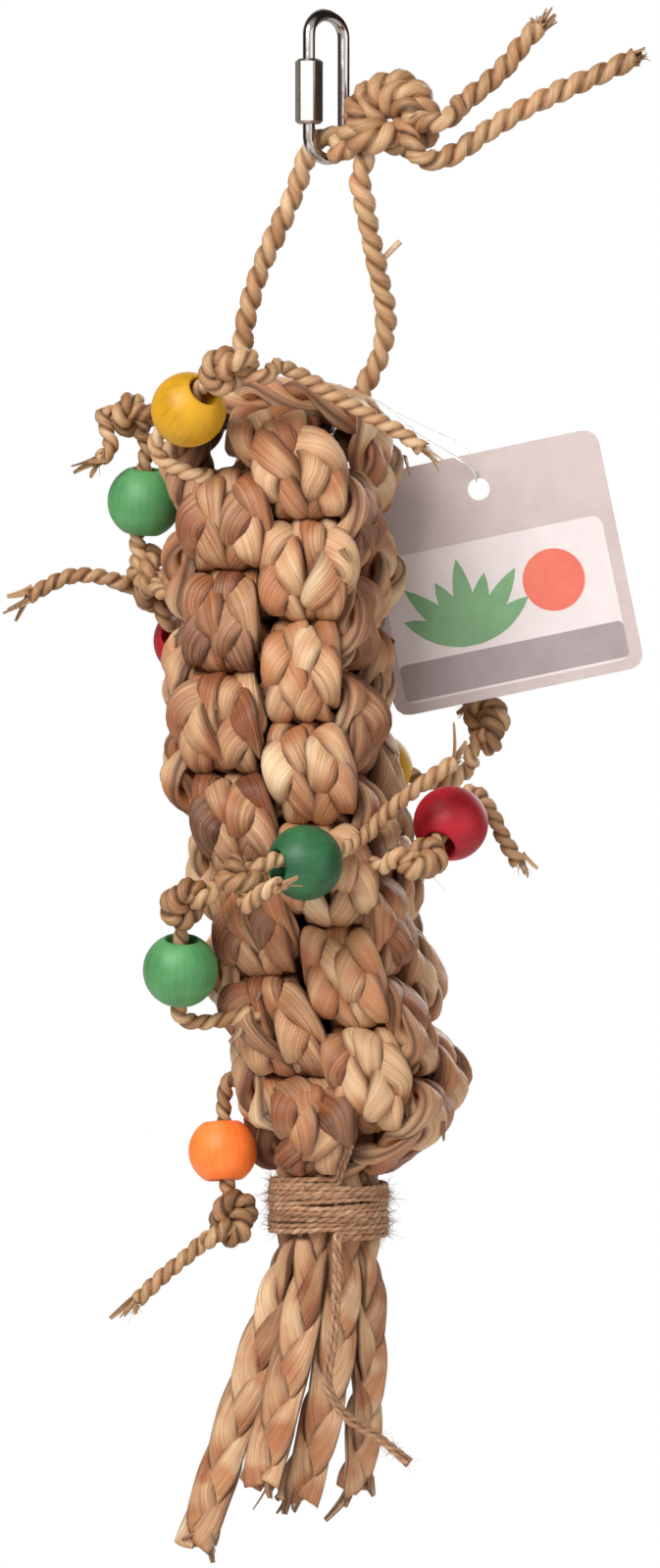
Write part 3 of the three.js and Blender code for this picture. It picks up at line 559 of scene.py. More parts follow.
def leaf_section(count):
    """A flat strand's section with half sizes 1 and thin edges: y = (1 - x^4)^0.85."""
    angle = angles(count)
    x = np.cos(angle)
    y = np.sign(np.sin(angle)) * (1 - x**4) ** 0.85
    return x, np.where(np.abs(y) < TINY, 0, y), angle


def plait(mesh, line, across, width, thickness, period, rng, place, under):
    """Three flat leaf strands plaited along a course.

    Strand j at phase f = 2 pi s / period + 2 pi j / 3 lies at A sin f across and B sin 2f up, so each
    goes out over its neighbour and comes back under it. It rolls by R cos 2f sin(f + pi / 4): it comes up
    from below the strand before it, and lies over the one after. What would stand out past half the
    width w is folded in, to x / (1 + |2x / w|^6)^(1/6). Creases wander slowly along it, and it is darkened
    by under with painted shade where it goes below its neighbours.
    """
    up = unit(np.cross(tangents(line), across))
    walked = lengths(line)
    px, py, angle = leaf_section(STRAND_AROUND)
    start = rng.uniform(0, TURN)
    for j in range(STRANDS):
        phase = TURN * walked / period + start + TURN * j / STRANDS
        edge = np.sin(phase) ** 2
        uneven = mix(*STRAND_UNEVEN, wander(walked, UNEVEN_SPACING, rng))
        strand_wide = width * mix(*STRAND_WIDTH, edge) * uneven
        strand_thick = thickness * mix(*STRAND_THICKNESS, edge)
        lateral = STRAND_SWING * width * np.sin(phase)
        height = STRAND_LIFT * thickness * np.sin(2 * phase)
        centre = line + across * lateral[:, None] + up * height[:, None]
        way = tangents(centre)
        flat = unit(np.cross(way, up))
        rise = np.cross(flat, way)
        roll = (STRAND_ROLL * np.cos(2 * phase) * np.sin(phase + math.pi / 4))[:, None]
        c, s = np.cos(roll), np.sin(roll)
        flat, rise = flat * c - rise * s, rise * c + flat * s
        crease = 0
        for count, depth, spacing in CREASES:
            drift = CREASE_DRIFT * wander(walked, spacing, rng)[:, None]
            crease = crease + depth * np.sin(count * angle[None] + drift)
        sx = px[None] * (1 + crease / 2) * strand_wide[:, None] / 2
        sy = py[None] * (1 + crease) * strand_thick[:, None] / 2
        rings = centre[:, None] + flat[:, None] * sx[..., None] + rise[:, None] * sy[..., None]
        aside = ((rings - line[:, None]) * across[:, None]).sum(-1)
        excess = aside * (1 - (1 + np.abs(2 * aside / width[:, None]) ** FOLD) ** (-1 / FOLD))
        rings = rings - across[:, None] * excess[..., None]
        tone = sum(wander(walked, spacing, rng) for spacing in TONE_SPACINGS) / 2
        # Painted shade: darker where the strand goes below its neighbours, with the mean kept up by
        # UNDER_MEAN
        tone = tone + under * (UNDER_MEAN - (0.5 - 0.5 * np.sin(2 * phase)) ** UNDER_POWER)
        mesh.grid(place(rings), walked + rng.uniform(0, GRAIN_START), tone, cap_slot=CUT)


TAIL_FULLNESS = 0.94
TAIL_FLATNESS = 0.7
TAIL_SAMPLES = 90
TAIL_SPREAD = 0.45
TAIL_STRAIGHT = 3.0

# Tails, measured from the middle of the binding's lower edge: name, bend, tip, facing
TAILS = (
    ("tail_right_back", (13.5, 8, -28), (9, 12.5, -57), (0.2, 1, 0)),
    ("tail_back_right", (4.5, 16.5, -28), (-2.5, 18, -56), (0.2, 1, 0)),
    ("tail_back_left", (-8.5, 15.5, -28), (-15, 16.5, -55), (-0.1, 1, 0)),
    ("tail_left_back", (-17, 7, -28), (-29.5, 8.5, -60), (-0.3, 1, 0)),
    ("tail_left", (-18, -6, -28), (-35.5, -11, -81), (0.95, -0.3, 0)),
    ("tail_middle_left", (-7, -13, -24), (-18.4, -18.5, -64), (1, -0.2, 0)),
    ("tail_middle_right", (4, -12, -32), (-8.5, -8.5, -69), (1, 0.3, 0)),
    ("tail_right", (13.5, -5, -26), (7, -1.5, -67), (0.7, 0.7, 0)),
)


def tail_course(number, bend, tip, facing):
    """A tail's course: straight out of the binding, then one quadratic bend to its tip."""
    centre = np.array([lean_at(BINDING_MIDDLE), 0, BINDING_BOTTOM])
    angle = ring_angle(1, 1) + COLUMN_TURN + number * TURN / ENDS
    ring = centre + BUNDLE_RADIUS * np.array([math.cos(angle), math.sin(angle), 0])
    tangential = np.array([math.sin(angle), -math.cos(angle), 0])
    last = unit(facing)
    if last.dot(tangential) < 0:
        last = -last
    t = np.linspace(0, 1, TAIL_SAMPLES)[:, None]
    curve = (1 - t) ** 2 * ring + 2 * t * (1 - t) * (centre + bend) + t**2 * (centre + tip)
    head = ring + np.array([[0, 0, BINDING_MIDDLE - BINDING_BOTTOM], [0, 0, TAIL_STRAIGHT]])
    spread = np.concatenate([[0, 0], smoothstep(t[:, 0], 0, TAIL_SPREAD)])
    across = unit(mix(tangential, last, spread[:, None]))
    width = mix(BUNDLE[0], TAIL_WIDTH * TAIL_FULLNESS, spread)
    thickness = mix(BUNDLE[1], TAIL_THICKNESS * TAIL_FLATNESS, spread)
    return np.vstack([head, curve]), across, width, thickness


# Knots, as shares of the cord: where the strand comes in, its two radii, and where it leaves
KNOT_LEAD = 0.65
KNOT_MAJOR = 1.06
KNOT_MINOR = 0.46
KNOT_EXIT = np.array([0.8, 1.95, 0.7])
KNOT_FULLNESS = 1.22
KNOT_SAMPLES = 110
KNOT_STRAIGHT = 0.6


def knot_course(major, minor, phase, steps):
    """An overhand knot: twice round a torus, three times through its hole, open on its x side.

    (R + r cos(3t + p)) cos 2t, (R + r cos(3t + p)) sin 2t, r sin(3t + p).
    """
    t = np.linspace(KNOT_LEAD, TURN - KNOT_LEAD, steps)
    reach = major + minor * np.cos(3 * t + phase)
    return np.stack([reach * np.cos(2 * t), reach * np.sin(2 * t), minor * np.sin(3 * t + phase)], -1)


def knot_frame(start, side):
    """Columns x, y, z of a knot's frame: y to where the strand comes from, x on the side given."""
    y = unit(start)
    x = unit(np.asarray(side, float) - y * np.dot(side, y))
    return np.stack([x, y, np.cross(x, y)], -1)


def knot_exit(centre, basis, size, sign):
    """Where a cord comes into a knot (sign 1) or leaves it (sign -1)."""
    return centre + basis @ (KNOT_EXIT * (1, sign, sign) * size)


# Steps along a rope, samples between its points, and the steps over which it swells into a knot
ROPE_STEP = 0.75
SPAN_SAMPLES = 10
SWELL_STEPS = 8


def joined_runs(runs, plain, knotted):
    """One line from free runs and knots in turn, its radius passing smoothly from plain to knotted."""
    parts = []
    tight = []
    for number, run in enumerate(runs):
        in_knot = number % 2
        line = run if in_knot else smooth_line(run, SPAN_SAMPLES)
        line = line[1:] if number else line
        parts.append(line)
        tight.append(np.full(len(line), float(in_knot)))
    line, at, hold = even(np.vstack(parts), ROPE_STEP, np.concatenate(tight))
    kernel = np.hanning(2 * SWELL_STEPS + 1)
    hold = np.convolve(np.pad(hold, SWELL_STEPS, mode="edge"), kernel / kernel.sum(), mode="valid")
    return line, at, mix(plain, knotted, hold) / 2


# The hanging rope's double knot, and its points from the lower end to the upper one
ROPE_KNOT_FULLNESS = 1.2
ROPE_KNOT_TIGHTEN = 0.84
ROPE_KNOT_TUBE = 0.62 * ROPE_DIAMETER
ROPE_KNOT_MINOR = ROPE_KNOT_TUBE + 0.5
ROPE_KNOT_MAJOR = ROPE_KNOT_MINOR + 1.35 * ROPE_KNOT_TUBE
ROPE_KNOT_SAMPLES = 120
ROPE_KNOT_PLACE = np.array([17.0, -16, -28])
ROPE_KNOT_AXES = ((-0.93, 0.3, -0.1), (-0.1, -0.25, -0.95))
ROPE_INNER_LEAD = np.array([1.6, 1.2, 0.5])
ROPE_OUTER_LEAD = np.array([0.55, 2.05, 0.8])
ROPE_END_LOWER = (
    (82.4, -16, -10.8), (74.4, -16, -14.7), (65, -17, -18.7), (52, -19.5, -25.2), (42, -22, -31.5),
    (33, -23.5, -37.5),
)
ROPE_END_UPPER = (
    (36, -21.5, -23.5), (41, -19.5, -19.5), (47.5, -17, -13.5), (52, -16, -7.6), (56.5, -15.5, -2.5),
)
ROPE_LEFT_LEG = (
    (-8.3, 8, -44.5), (-11.6, 9, -52), (-17.4, 11, -64.7), (-21, 12.5, -76), (-22.6, 13.5, -86),
    (-21.8, 14.5, -96),
)
ROPE_RIGHT_LEG = (
    (10.5, 10, -97), (14.5, 7.5, -89), (16, 3, -79), (14, -3, -68), (11.6, -8.5, -57), (9.8, -12.5, -47.5),
)

# The bight from its own depth, and the rope over the link: along the link's opening, and rise
ROPE_BIGHT = (
    (-14.5, 13.6, 9.5), (-12.7, 13.3, 2), (-6, 13.2, 0), (6, 13.2, 0), (12.7, 13.3, 2), (14.5, 13.6, 9.5),
)
ROPE_OVER_LINK = ((4.5, 0.3), (0, 0.4), (-4.5, -0.6))


def rope_course():
    """The rope's line and radius: end, knot, link, left leg, bight, right leg, knot, end."""
    basis = knot_frame(*ROPE_KNOT_AXES)

    def placed(p):
        """From the knot's frame to the toy's."""
        return ROPE_KNOT_PLACE + p @ basis.T

    def lead(way, sign):
        """A point where the rope comes into the knot or leaves it."""
        return placed(way * (1, sign, sign) * ROPE_KNOT_MAJOR / KNOT_MAJOR)

    tight = (ROPE_KNOT_MAJOR * ROPE_KNOT_TIGHTEN, ROPE_KNOT_MINOR * ROPE_KNOT_TIGHTEN)
    left = placed(knot_course(*tight, -math.pi / 4, ROPE_KNOT_SAMPLES))[::-1]
    right = placed(knot_course(*tight, math.pi / 4, ROPE_KNOT_SAMPLES))
    through = np.array([math.sin(LINK_TURN), -math.cos(LINK_TURN), 0])
    seat = 2 * LINK_WIRE - LINK_HEIGHT + TOUCH_GAP + ROPE_DIAMETER / 2
    over = [through * a + (0, 0, seat + rise) for a, rise in ROPE_OVER_LINK]
    bight = to_toy(np.array(ROPE_BIGHT) + (0, 0, BIGHT_DEPTH))
    down = [left[-1], lead(ROPE_OUTER_LEAD, 1), *over, *ROPE_LEFT_LEG]
    up_again = [*ROPE_RIGHT_LEG, lead(ROPE_INNER_LEAD, 1), right[0]]
    runs = [
        [*ROPE_END_LOWER, lead(ROPE_INNER_LEAD, -1), left[0]],
        left,
        [*down, *bight, *up_again],
        right,
        [right[-1], lead(ROPE_OUTER_LEAD, -1), *ROPE_END_UPPER],
    ]
    return joined_runs(runs, ROPE_DIAMETER, ROPE_DIAMETER * ROPE_KNOT_FULLNESS)


# Beads: a place on the cord, the way the cord runs through, the paint, the diameter and the paint's tone
BEADS = {
    "bead_yellow_top": ((-37.1, -29, 1.1), (-0.5, 0.67, -0.54), "yellow", BEAD_DIAMETER, 0.6),
    "bead_green_left": ((-50, 12, -23.1), (-0.1, 0.15, -0.98), "green", BEAD_DIAMETER, 0.88),
    "bead_red_left": ((-37, 38, -58.9), (0.45, 0.85, -0.25), "red", BEAD_DIAMETER, 0.5),
    "bead_yellow_back": ((14, 38, -94), (0.9, 0.2, -0.3), "yellow", BEAD_DIAMETER, 0.5),
    "bead_green_middle": ((-5.8, -44, -118.6), (-0.85, -0.5, -0.1), "green", BEAD_DIAMETER, 0.45),
    "bead_red_right": ((32.5, -19, -108.8), (0.36, 0.66, 0.66), "red", BEAD_DIAMETER, 0.46),
    "bead_green_lower": ((-39, -25, -148.5), (-0.05, 0.3, -0.95), "green", BEAD_DIAMETER, 0.85),
    "bead_orange": ((-27, -6, -197.7), (0.05, -0.1, -0.99), "orange", SMALL_BEAD_DIAMETER, 0.55),
}
BEAD_SLACK = (BEAD_BORE - CORD_DIAMETER) / 2 - TOUCH_GAP

# A cord's stations in a bead, as shares of its half length, and how far short of the ball the ends stop
BEAD_STATIONS = (-1, -0.4, 0.4, 1)
BEAD_INSET = 0.8


def beside(place):
    """A place beside the column, from its height over the column's top."""
    return np.array(place, float) - (0, 0, TOP_DEPTH)


def knot(place, size, side):
    """A knot on a cord: its place, its size, and the side it opens to where the cord is straight."""
    return {"place": place, "size": size, "side": np.array(side, float)}


# Bead cords: points, knots and beads in the order that each cord meets them
CORDS = {
    "cord_top": (
        (25.5, -29, -10.8), (19.7, -29, -6.5), (13.4, -29.5, -3.1), (7.4, -30, 0.3),
        (0.3, -31, 4.3), (-6.6, -32.5, 8.5), (-13, -35, 11),
        knot((-27, -40, 12), 0.92, (0.3, -0.3, 0.9)),
        "bead_yellow_top",
        (-45.5, -17.5, -9), (-43.5, -15.5, -13.5), (-38.8, -17, -16), (-34.2, -18.6, -17.8),
    ),
    "cord_left": (
        (-61, 3, -12.5), (-58, 2.5, -9.5),
        knot((-46.5, 5.5, -2.5), 0.8, (-0.9, -0.3, 0.3)),
        "bead_green_left",
        knot((-50.5, 12.5, -41.5), 0.8, (-0.6, 0.6, 0.3)),
        (-46, 3.5, -46.5), (-40, -3, -50),
    ),
    "cord_left_end": (
        (-80.5, 13, -49.2), (-75, 13, -46), (-69.4, 13.5, -43.6), (-62.3, 14.5, -43.4), (-56, 16.5, -45),
        knot((-46.5, 22, -51.5), 0.8, (-0.5, 0.3, -0.8)),
        "bead_red_left",
        (-27, 48, -64), (-20, 43, -67.5), (-15, 29, -70),
    ),
    "cord_back": (
        (-14, 23, -82), (-8, 33.5, -86),
        "bead_yellow_back",
        (29, 40.5, -99.5), (35.5, 39, -98), (39.5, 37, -94),
        knot((43, 36, -84), 0.9, (0.9, 0.3, -0.2)),
        (38.5, 43, -77.5),
    ),
    "cord_front": (
        (34, -34.5, -93.5), (27, -35.5, -98.5), (18, -31.6, -105.5), (10.5, -29.4, -113),
        "bead_green_middle",
        knot((-21.3, -53, -120.4), 0.95, (0.3, -0.5, -0.8)),
        (-17, -64.5, -128), (-12, -68, -125.5),
    ),
    "cord_lower": (
        (-14, -25, -124), (-23, -33.5, -124.5), (-29, -34.5, -126),
        knot((-36.5, -32.5, -131), 0.78, (0.6, -0.8, 0.1)),
        "bead_green_lower",
        (-38.5, -21, -161.8), (-33.5, -20.5, -163), (-20, -22, -161),
    ),
    "cord_right": (
        (8, -24, -119), (15.5, -32, -121.5),
        knot((25.5, -31, -121), 0.72, (0.6, -0.8, -0.2)),
        "bead_red_right",
        (40, -9.5, -102), (44, -8, -107), (47, -8, -113.5), (51.5, -8, -121),
    ),
    "cord_orange": (
        (-26, -7, -179), (-27.4, -5.6, -184),
        "bead_orange",
        knot((-23.5, -6.5, -215.5), 0.85, (0.8, -0.5, 0.1)),
        (-32, -6.5, -221.5), (-38.5, -6.5, -227), (-44, -6.5, -231.5), (-50.8, -6.5, -238),
    ),
}


def bead_line(name):
    """Four points of a cord's straight run through a bead."""
    at, run, _, diameter, _ = BEADS[name]
    half = diameter / 2 - BEAD_INSET
    return [beside(at) + unit(run) * half * share for share in BEAD_STATIONS]


def opening(item, last):
    """The point of an item that a neighbouring knot looks at."""
    if isinstance(item, str):
        return bead_line(item)[-1 if last else 0]
    return beside(item["place"] if isinstance(item, dict) else item)


# An end this near the column's axis is tucked in, and runs on this much deeper
TUCK_REACH = 36.0
TUCK_DEPTH = 6.0


def tucked(end):
    """Whether a cord's end lies in the column, and the point deeper in it that the cord runs on to."""
    inward = np.array([lean_at(end[2]), 0, end[2]]) - end
    return np.linalg.norm(inward) < TUCK_REACH, end + unit(inward) * TUCK_DEPTH


def cord_course(items):
    """A bead cord's line and radius: straight through beads, knotted at knots, smooth between.

    A knot next to a bead is moved so that the cord leaves it in line with the bore. An end in the column
    runs on to meet the braids, which lie a little further in than the CAD bands.
    """
    runs = [[]]
    for i, item in enumerate(items):
        if isinstance(item, str):
            runs[-1].extend(bead_line(item))
        elif isinstance(item, dict):
            size = CORD_DIAMETER * item["size"]
            centre = beside(item["place"])
            start = unit(opening(items[i - 1], True) - centre)
            end = unit(opening(items[i + 1], False) - centre)
            bisector = start + end
            side = bisector if np.linalg.norm(bisector) > KNOT_STRAIGHT else item["side"]
            basis = knot_frame(start - end, side)
            for near, sign in ((items[i - 1], 1), (items[i + 1], -1)):
                if isinstance(near, str):
                    axis = unit(BEADS[near][1])
                    off = beside(BEADS[near][0]) - knot_exit(centre, basis, size, sign)
                    centre += off - axis * off.dot(axis)
            course = knot_course(KNOT_MAJOR * size, KNOT_MINOR * size, 0, KNOT_SAMPLES)
            course = centre + course @ basis.T
            runs[-1].extend([knot_exit(centre, basis, size, 1), course[0]])
            runs.append(course)
            runs.append([course[-1], knot_exit(centre, basis, size, -1)])
        else:
            runs[-1].append(beside(item))
    for run, place, last in ((runs[0], 0, 0), (runs[-1], len(runs[-1]), -1)):
        inside, deeper = tucked(run[last])
        if inside:
            run.insert(place, deeper)
    return joined_runs(runs, CORD_DIAMETER, CORD_DIAMETER * KNOT_FULLNESS)


# Twisted rope: two plies, with lumps and slow fades as (height, length) waves
PLIES = 2
PLY_AROUND = 20
PLY_GROOVE = 0.34
GROOVE_POWER = 2.2
ROPE_LUMPS = ((0.03, 5.3), (0.03, 2.9))
ROPE_ROUGHNESS = 0.022
ROPE_FADES = ((0.12, 37), (0.07, 13))
PLY_SPACINGS = (23, 31)
PLY_EDGE = 4
PLY_SHADE = 0.5
GROOVE_SHADE = 0.6
KNOT_SHADE = 1.1
ROPE_GRAIN_START = 300


def knot_tone(tone, radius, diameter):
    """A rope's tone along its line, darker where it swells in a knot and little light comes in."""
    return tone - KNOT_SHADE * (2 * radius / diameter - 1)[:, None]


def twisted(mesh, line, at, radius, pitch, rng, around=PLY_AROUND, groove=PLY_GROOVE, tone=PLAIN_TONE):
    """A rope as one skin: its section has a lobe for each ply and turns once in each pitch.

    Radius r (1 - g ((1 - cos(n (a + 2 pi s / pitch))) / 2)^2.2), with u following the twist. Each of two
    plies has a tone of its own that wanders, and the grooves are darkened with painted shade.
    """
    across, third = carried_frame(line)
    turn = (rng.uniform(0, ANY_START) - TURN * at / pitch)[:, None]
    c, s = np.cos(turn), np.sin(turn)
    across, third = across * c + third * s, third * c - across * s
    angle = angles(around)
    dip = ((1 - np.cos(PLIES * angle)) / 2) ** GROOVE_POWER
    uneven = 1 + waves(at, ROPE_LUMPS, rng)
    rough = rng.normal(0, ROPE_ROUGHNESS, (len(at), around))
    reach = (radius * uneven)[:, None] * (1 - groove * dip[None] + rough)
    slow = waves(at, ROPE_FADES, rng)
    first = 0.5 + 0.5 * np.clip(PLY_EDGE * np.cos(angle), -1, 1)[None]
    ply = mix(*[wander(at, spacing, rng)[:, None] for spacing in PLY_SPACINGS], first) - 0.5
    # Painted shade darkens the grooves between the plies
    shade = tone + slow[:, None] + PLY_SHADE * ply - GROOVE_SHADE * dip[None] ** 2
    rings = rings_round(line, across, third, reach)
    mesh.grid(rings, at + rng.uniform(0, ROPE_GRAIN_START), shade, cap_slot=CUT)


# Hairs and leaf strips: ranges of length and thickness, curl, bend and taper
HAIR_LENGTHS = (0.4, 1.0)
HAIR_WIDTHS = (0.6, 1.2)
HAIR_CURL = 0.45
HAIR_TAPER = 0.8
HAIR_AROUND = 3
STRIP_SAMPLES = 10
STRIP_BEND = 0.25
STRIP_LIFT = (-0.1, 0.4)
STRIP_TAPER = 0.55


def hairs(mesh, roots, ways, reach, thick, rng, tone, droop=0.3, steps=6):
    """Thin tapering fibres from roots, each bending off its way with t^2 by a random curl and a droop."""
    t = np.linspace(0, 1, steps)[:, None]
    for root, way in zip(roots, ways):
        length = reach * rng.uniform(*HAIR_LENGTHS)
        curl = rng.normal(0, HAIR_CURL, 3)
        line = root + unit(way) * length * t + (curl + (0, 0, -droop)) * length / 2 * t**2
        radius = thick / 2 * (1 - HAIR_TAPER * t) * rng.uniform(*HAIR_WIDTHS)
        mesh.grid(tube(line, radius, HAIR_AROUND), t[:, 0] * length, tone)


def leaf_strip(mesh, root, way, face, length, width, rng, tone):
    """A dry leaf strip: a narrow folded ribbon that bends off its way, and narrows, with t^2."""
    t = np.linspace(0, 1, STRIP_SAMPLES)[:, None]
    way, face = unit(way), unit(face)
    bend = rng.normal(0, STRIP_BEND, 3)
    line = root + way * length * t + (face * rng.uniform(*STRIP_LIFT) + bend) * length * t**2
    along = tangents(line)
    across = unit(np.cross(along, face))
    fold = unit(np.cross(across, along))
    half = width / 2 * (1 - STRIP_TAPER * t**2)
    rings = np.stack([line - across * half, line + fold * half / 2, line + across * half], 1)
    mesh.grid(rings, t[:, 0] * length, tone, closed=False)


# A cut end's fibres: scatter of roots and ways, how far strips start inside, their lengths, widths, tones
FRAY_SCATTER = 0.8
FRAY_SPLAY = 0.3
FRAY_INSET = 1.5
FRAY_LENGTHS = (0.8, 1.9)
FRAY_WIDTHS = (1.2, 3.0)
FRAY_TONES = (0.2, 0.8)
FRAY_HAIR_TONE = 0.35


def frayed(mesh, line, rng, count, reach, thick):
    """Loose fibres and leaf strips at a rope's free ends."""
    along = tangents(line)
    for at, sign in ((0, -1), (-1, 1)):
        if tucked(line[at])[0]:
            continue
        roots = line[at] + rng.normal(0, FRAY_SCATTER, (count, 3))
        ways = along[at] * sign + rng.normal(0, FRAY_SPLAY, (count, 3))
        hairs(mesh, roots, ways, reach, thick, rng, FRAY_HAIR_TONE)
        for root, way in zip(roots[::2], ways[::2]):
            face = rng.normal(0, 1, 3)
            length = reach * rng.uniform(*FRAY_LENGTHS)
            width = rng.uniform(*FRAY_WIDTHS)
            tone = rng.uniform(*FRAY_TONES)
            leaf_strip(mesh, root - unit(way) * FRAY_INSET, way, face, length, width, rng, tone)


# Colours as sRGB hex: ramps from dark to pale, and the stop that a user's colour takes the place of
LEAF_STOPS = ((0.0, "#5a3b2a"), (0.25, "#97694a"), (0.5, "#c59870"), (0.75, "#dbb890"), (1.0, "#edd8b8"))
GRASS_STOPS = ((0.0, "#543822"), (0.3, "#98714b"), (0.6, "#c29d75"), (1.0, "#e6ceab"))
JUTE_STOPS = ((0.0, "#6e4e3a"), (0.4, "#a07a5c"), (0.7, "#c19b7a"), (1.0, "#e0c3a6"))
FIBRE_MAIN = 2
CUT_STOPS = 3
PAINTS = {
    "yellow": ((0.36, "#a06f0b"), (0.58, "#c49013"), (0.95, "#d8a21c")),
    "green": ((0.36, "#244f33"), (0.58, "#306a40"), (0.95, "#57935a")),
    "red": ((0.36, "#8f101c"), (0.58, "#ad1727"), (0.95, "#c02434")),
    "orange": ((0.36, "#ee6820"), (0.58, "#ff8038"), (0.95, "#ff8e4c")),
}
PAINT_MAIN = 1
STEEL = "#b3adab"


def linear(code):
    """An sRGB hex colour as linear RGBA: p / 12.92 when dark, else ((p + 0.055) / 1.055)^2.4."""
    parts = [int(code[i:i + 2], 16) / 255 for i in (1, 3, 5)]
    return tuple(p / 12.92 if p <= 0.04045 else ((p + 0.055) / 1.055) ** 2.4 for p in parts) + (1.0,)


# What a user may change

def length_setting(name, description, size, low, high):
    """A length: millimetres here, metres in Blender."""
    return bpy.props.FloatProperty(
        name=name, description=description, default=size * MM, min=low * MM, max=high * MM, precision=4,
        unit="LENGTH",
    )


def power_setting(name, description, power):
    """A lamp's power in watts."""
    return bpy.props.FloatProperty(
        name=name, description=description, default=power, min=0, max=200, unit="POWER",
    )


def colour_setting(name, description, code):
    """A colour, from its sRGB hex value."""
    return bpy.props.FloatVectorProperty(
        name=name, description=description, default=linear(code)[:3], min=0, max=1, subtype="COLOR",
    )


class ToySettings(bpy.types.PropertyGroup):
    """Sizes, colours and lights of the looks."""

    plait_period: length_setting("Column plait", "Length of one crossing of a column strand", 41, 15, 60)
    tail_period: length_setting("Tail plait", "Length of one crossing of a tail's strands", 56, 15, 90)
    rope_pitch: length_setting("Rope lay", "Length in which the hanging rope turns once", 11.6, 8, 40)
    cord_pitch: length_setting("Cord lay", "Length in which a bead cord turns once", 8.2, 6, 30)
    twine_pitch: length_setting("Twine lay", "Length in which the twine turns once", 5.5, 2, 12)
    leaf_colour: colour_setting("Leaf", "Middle colour of the leaf braids", LEAF_STOPS[FIBRE_MAIN][1])
    grass_colour: colour_setting("Seagrass", "Middle colour of rope and cords", GRASS_STOPS[FIBRE_MAIN][1])
    jute_colour: colour_setting("Jute", "Middle colour of the twine", JUTE_STOPS[FIBRE_MAIN][1])
    yellow_paint: colour_setting("Yellow", "Paint of the yellow beads", PAINTS["yellow"][PAINT_MAIN][1])
    green_paint: colour_setting("Green", "Paint of the green beads", PAINTS["green"][PAINT_MAIN][1])
    red_paint: colour_setting("Red", "Paint of the red beads", PAINTS["red"][PAINT_MAIN][1])
    orange_paint: colour_setting("Orange", "Paint of the orange bead", PAINTS["orange"][PAINT_MAIN][1])
    steel_colour: colour_setting("Steel", "Colour of the quick link's wire", STEEL)
    seed: bpy.props.IntProperty(name="Seed", description="Changes every random draw", default=46)
    key_power: power_setting("Key light", "Power of the lamp at the upper left", 19.5)
    fill_power: power_setting("Fill light", "Power of the lamp at the right", 3.5)
    back_power: power_setting("Back light", "Power of the lamp behind the toy", 12.0)
    world_strength: bpy.props.FloatProperty(
        name="Room light", description="Strength of the even light from the room", default=0.28, min=0,
        max=3, subtype="FACTOR",
    )
    camera_distance: length_setting("Camera distance", "From the toy to the camera", 2400, 800, 8000)


def settings():
    """The settings in use."""
    return bpy.context.scene.bird_toy


# Each piece's random draws start from the seed and a number of its own
ROPE_DRAWS = 20
FIBRE_DRAWS = 30
BRAID_DRAWS = 40
TAIL_DRAWS = 60
TWINE_DRAWS = 80


def draws(number):
    """The random draws of one piece."""
    return np.random.default_rng(settings().seed + number)


# Materials

def tinted(stops, main, chosen):
    """Ramp stops in linear colour, each times the chosen colour over the main stop's."""
    shift = np.array([*chosen, 1.0]) / linear(stops[main][1])
    return [(place, shift * linear(code)) for place, code in stops]


def node(tree, kind, inputs=(), stops=(), **options):
    """Adds a shader node. An input takes a value, a socket, or a node whose first output it takes."""
    made = tree.nodes.new("ShaderNode" + kind)
    for key, value in options.items():
        setattr(made, key, value)
    for key, value in dict(inputs).items():
        value = value.outputs[0] if isinstance(value, bpy.types.Node) else value
        if isinstance(value, bpy.types.NodeSocket):
            tree.links.new(value, made.inputs[key])
        else:
            made.inputs[key].default_value = value
    while stops and len(made.color_ramp.elements) < len(stops):
        made.color_ramp.elements.new(0.5)
    for number, (place, colour) in enumerate(stops):
        made.color_ramp.elements[number].position = place
        made.color_ramp.elements[number].color = colour
    return made


def new_material(name):
    """The empty node tree of a new material."""
    made = bpy.data.materials.new(name)
    made.use_nodes = True
    made.node_tree.nodes.clear()
    return made.node_tree


def grain_noise(tree, around, length, detail, roughness):
    """Noise on the grain UV: this many features round the strand, each about a length in mm along it.

    u is laid round a circle, (cos 2 pi u, sin 2 pi u), so that there is no seam.
    """
    uv = node(tree, "SeparateXYZ", {0: node(tree, "UVMap", uv_map="grain")})
    turn = node(tree, "Math", {0: uv, 1: TURN}, operation="MULTIPLY")
    place = {2: node(tree, "Math", {0: uv.outputs[1], 1: 1 / length}, operation="MULTIPLY")}
    for axis, wave in enumerate(("COSINE", "SINE")):
        side = node(tree, "Math", {0: turn}, operation=wave)
        place[axis] = node(tree, "Math", {0: side, 1: around / TURN}, operation="MULTIPLY")
    where = node(tree, "CombineXYZ", place)
    return node(tree, "TexNoise", {"Vector": where, "Scale": 1.0, "Detail": detail, "Roughness": roughness})


# Fibres lie in bundles of so many and so long, and are stained in patches
BUNDLED = 4
BUNDLED_LENGTH = 11
STAINED = 30
STAINED_LENGTH = 9
STAIN_EDGES = (0.42, 0.62)
FINE_SHARE = 0.6
TONE_SHARE = 0.6
FIBRE_MEAN = 0.3
# A flat strand's edges are brown, partly the leaf's own colour and partly painted shade where strands meet
RIM_POWER = 7.0
RIM_BROWN_AND_SHADE = "#5f3a2a"
FIBRE_SHINE = 0.42


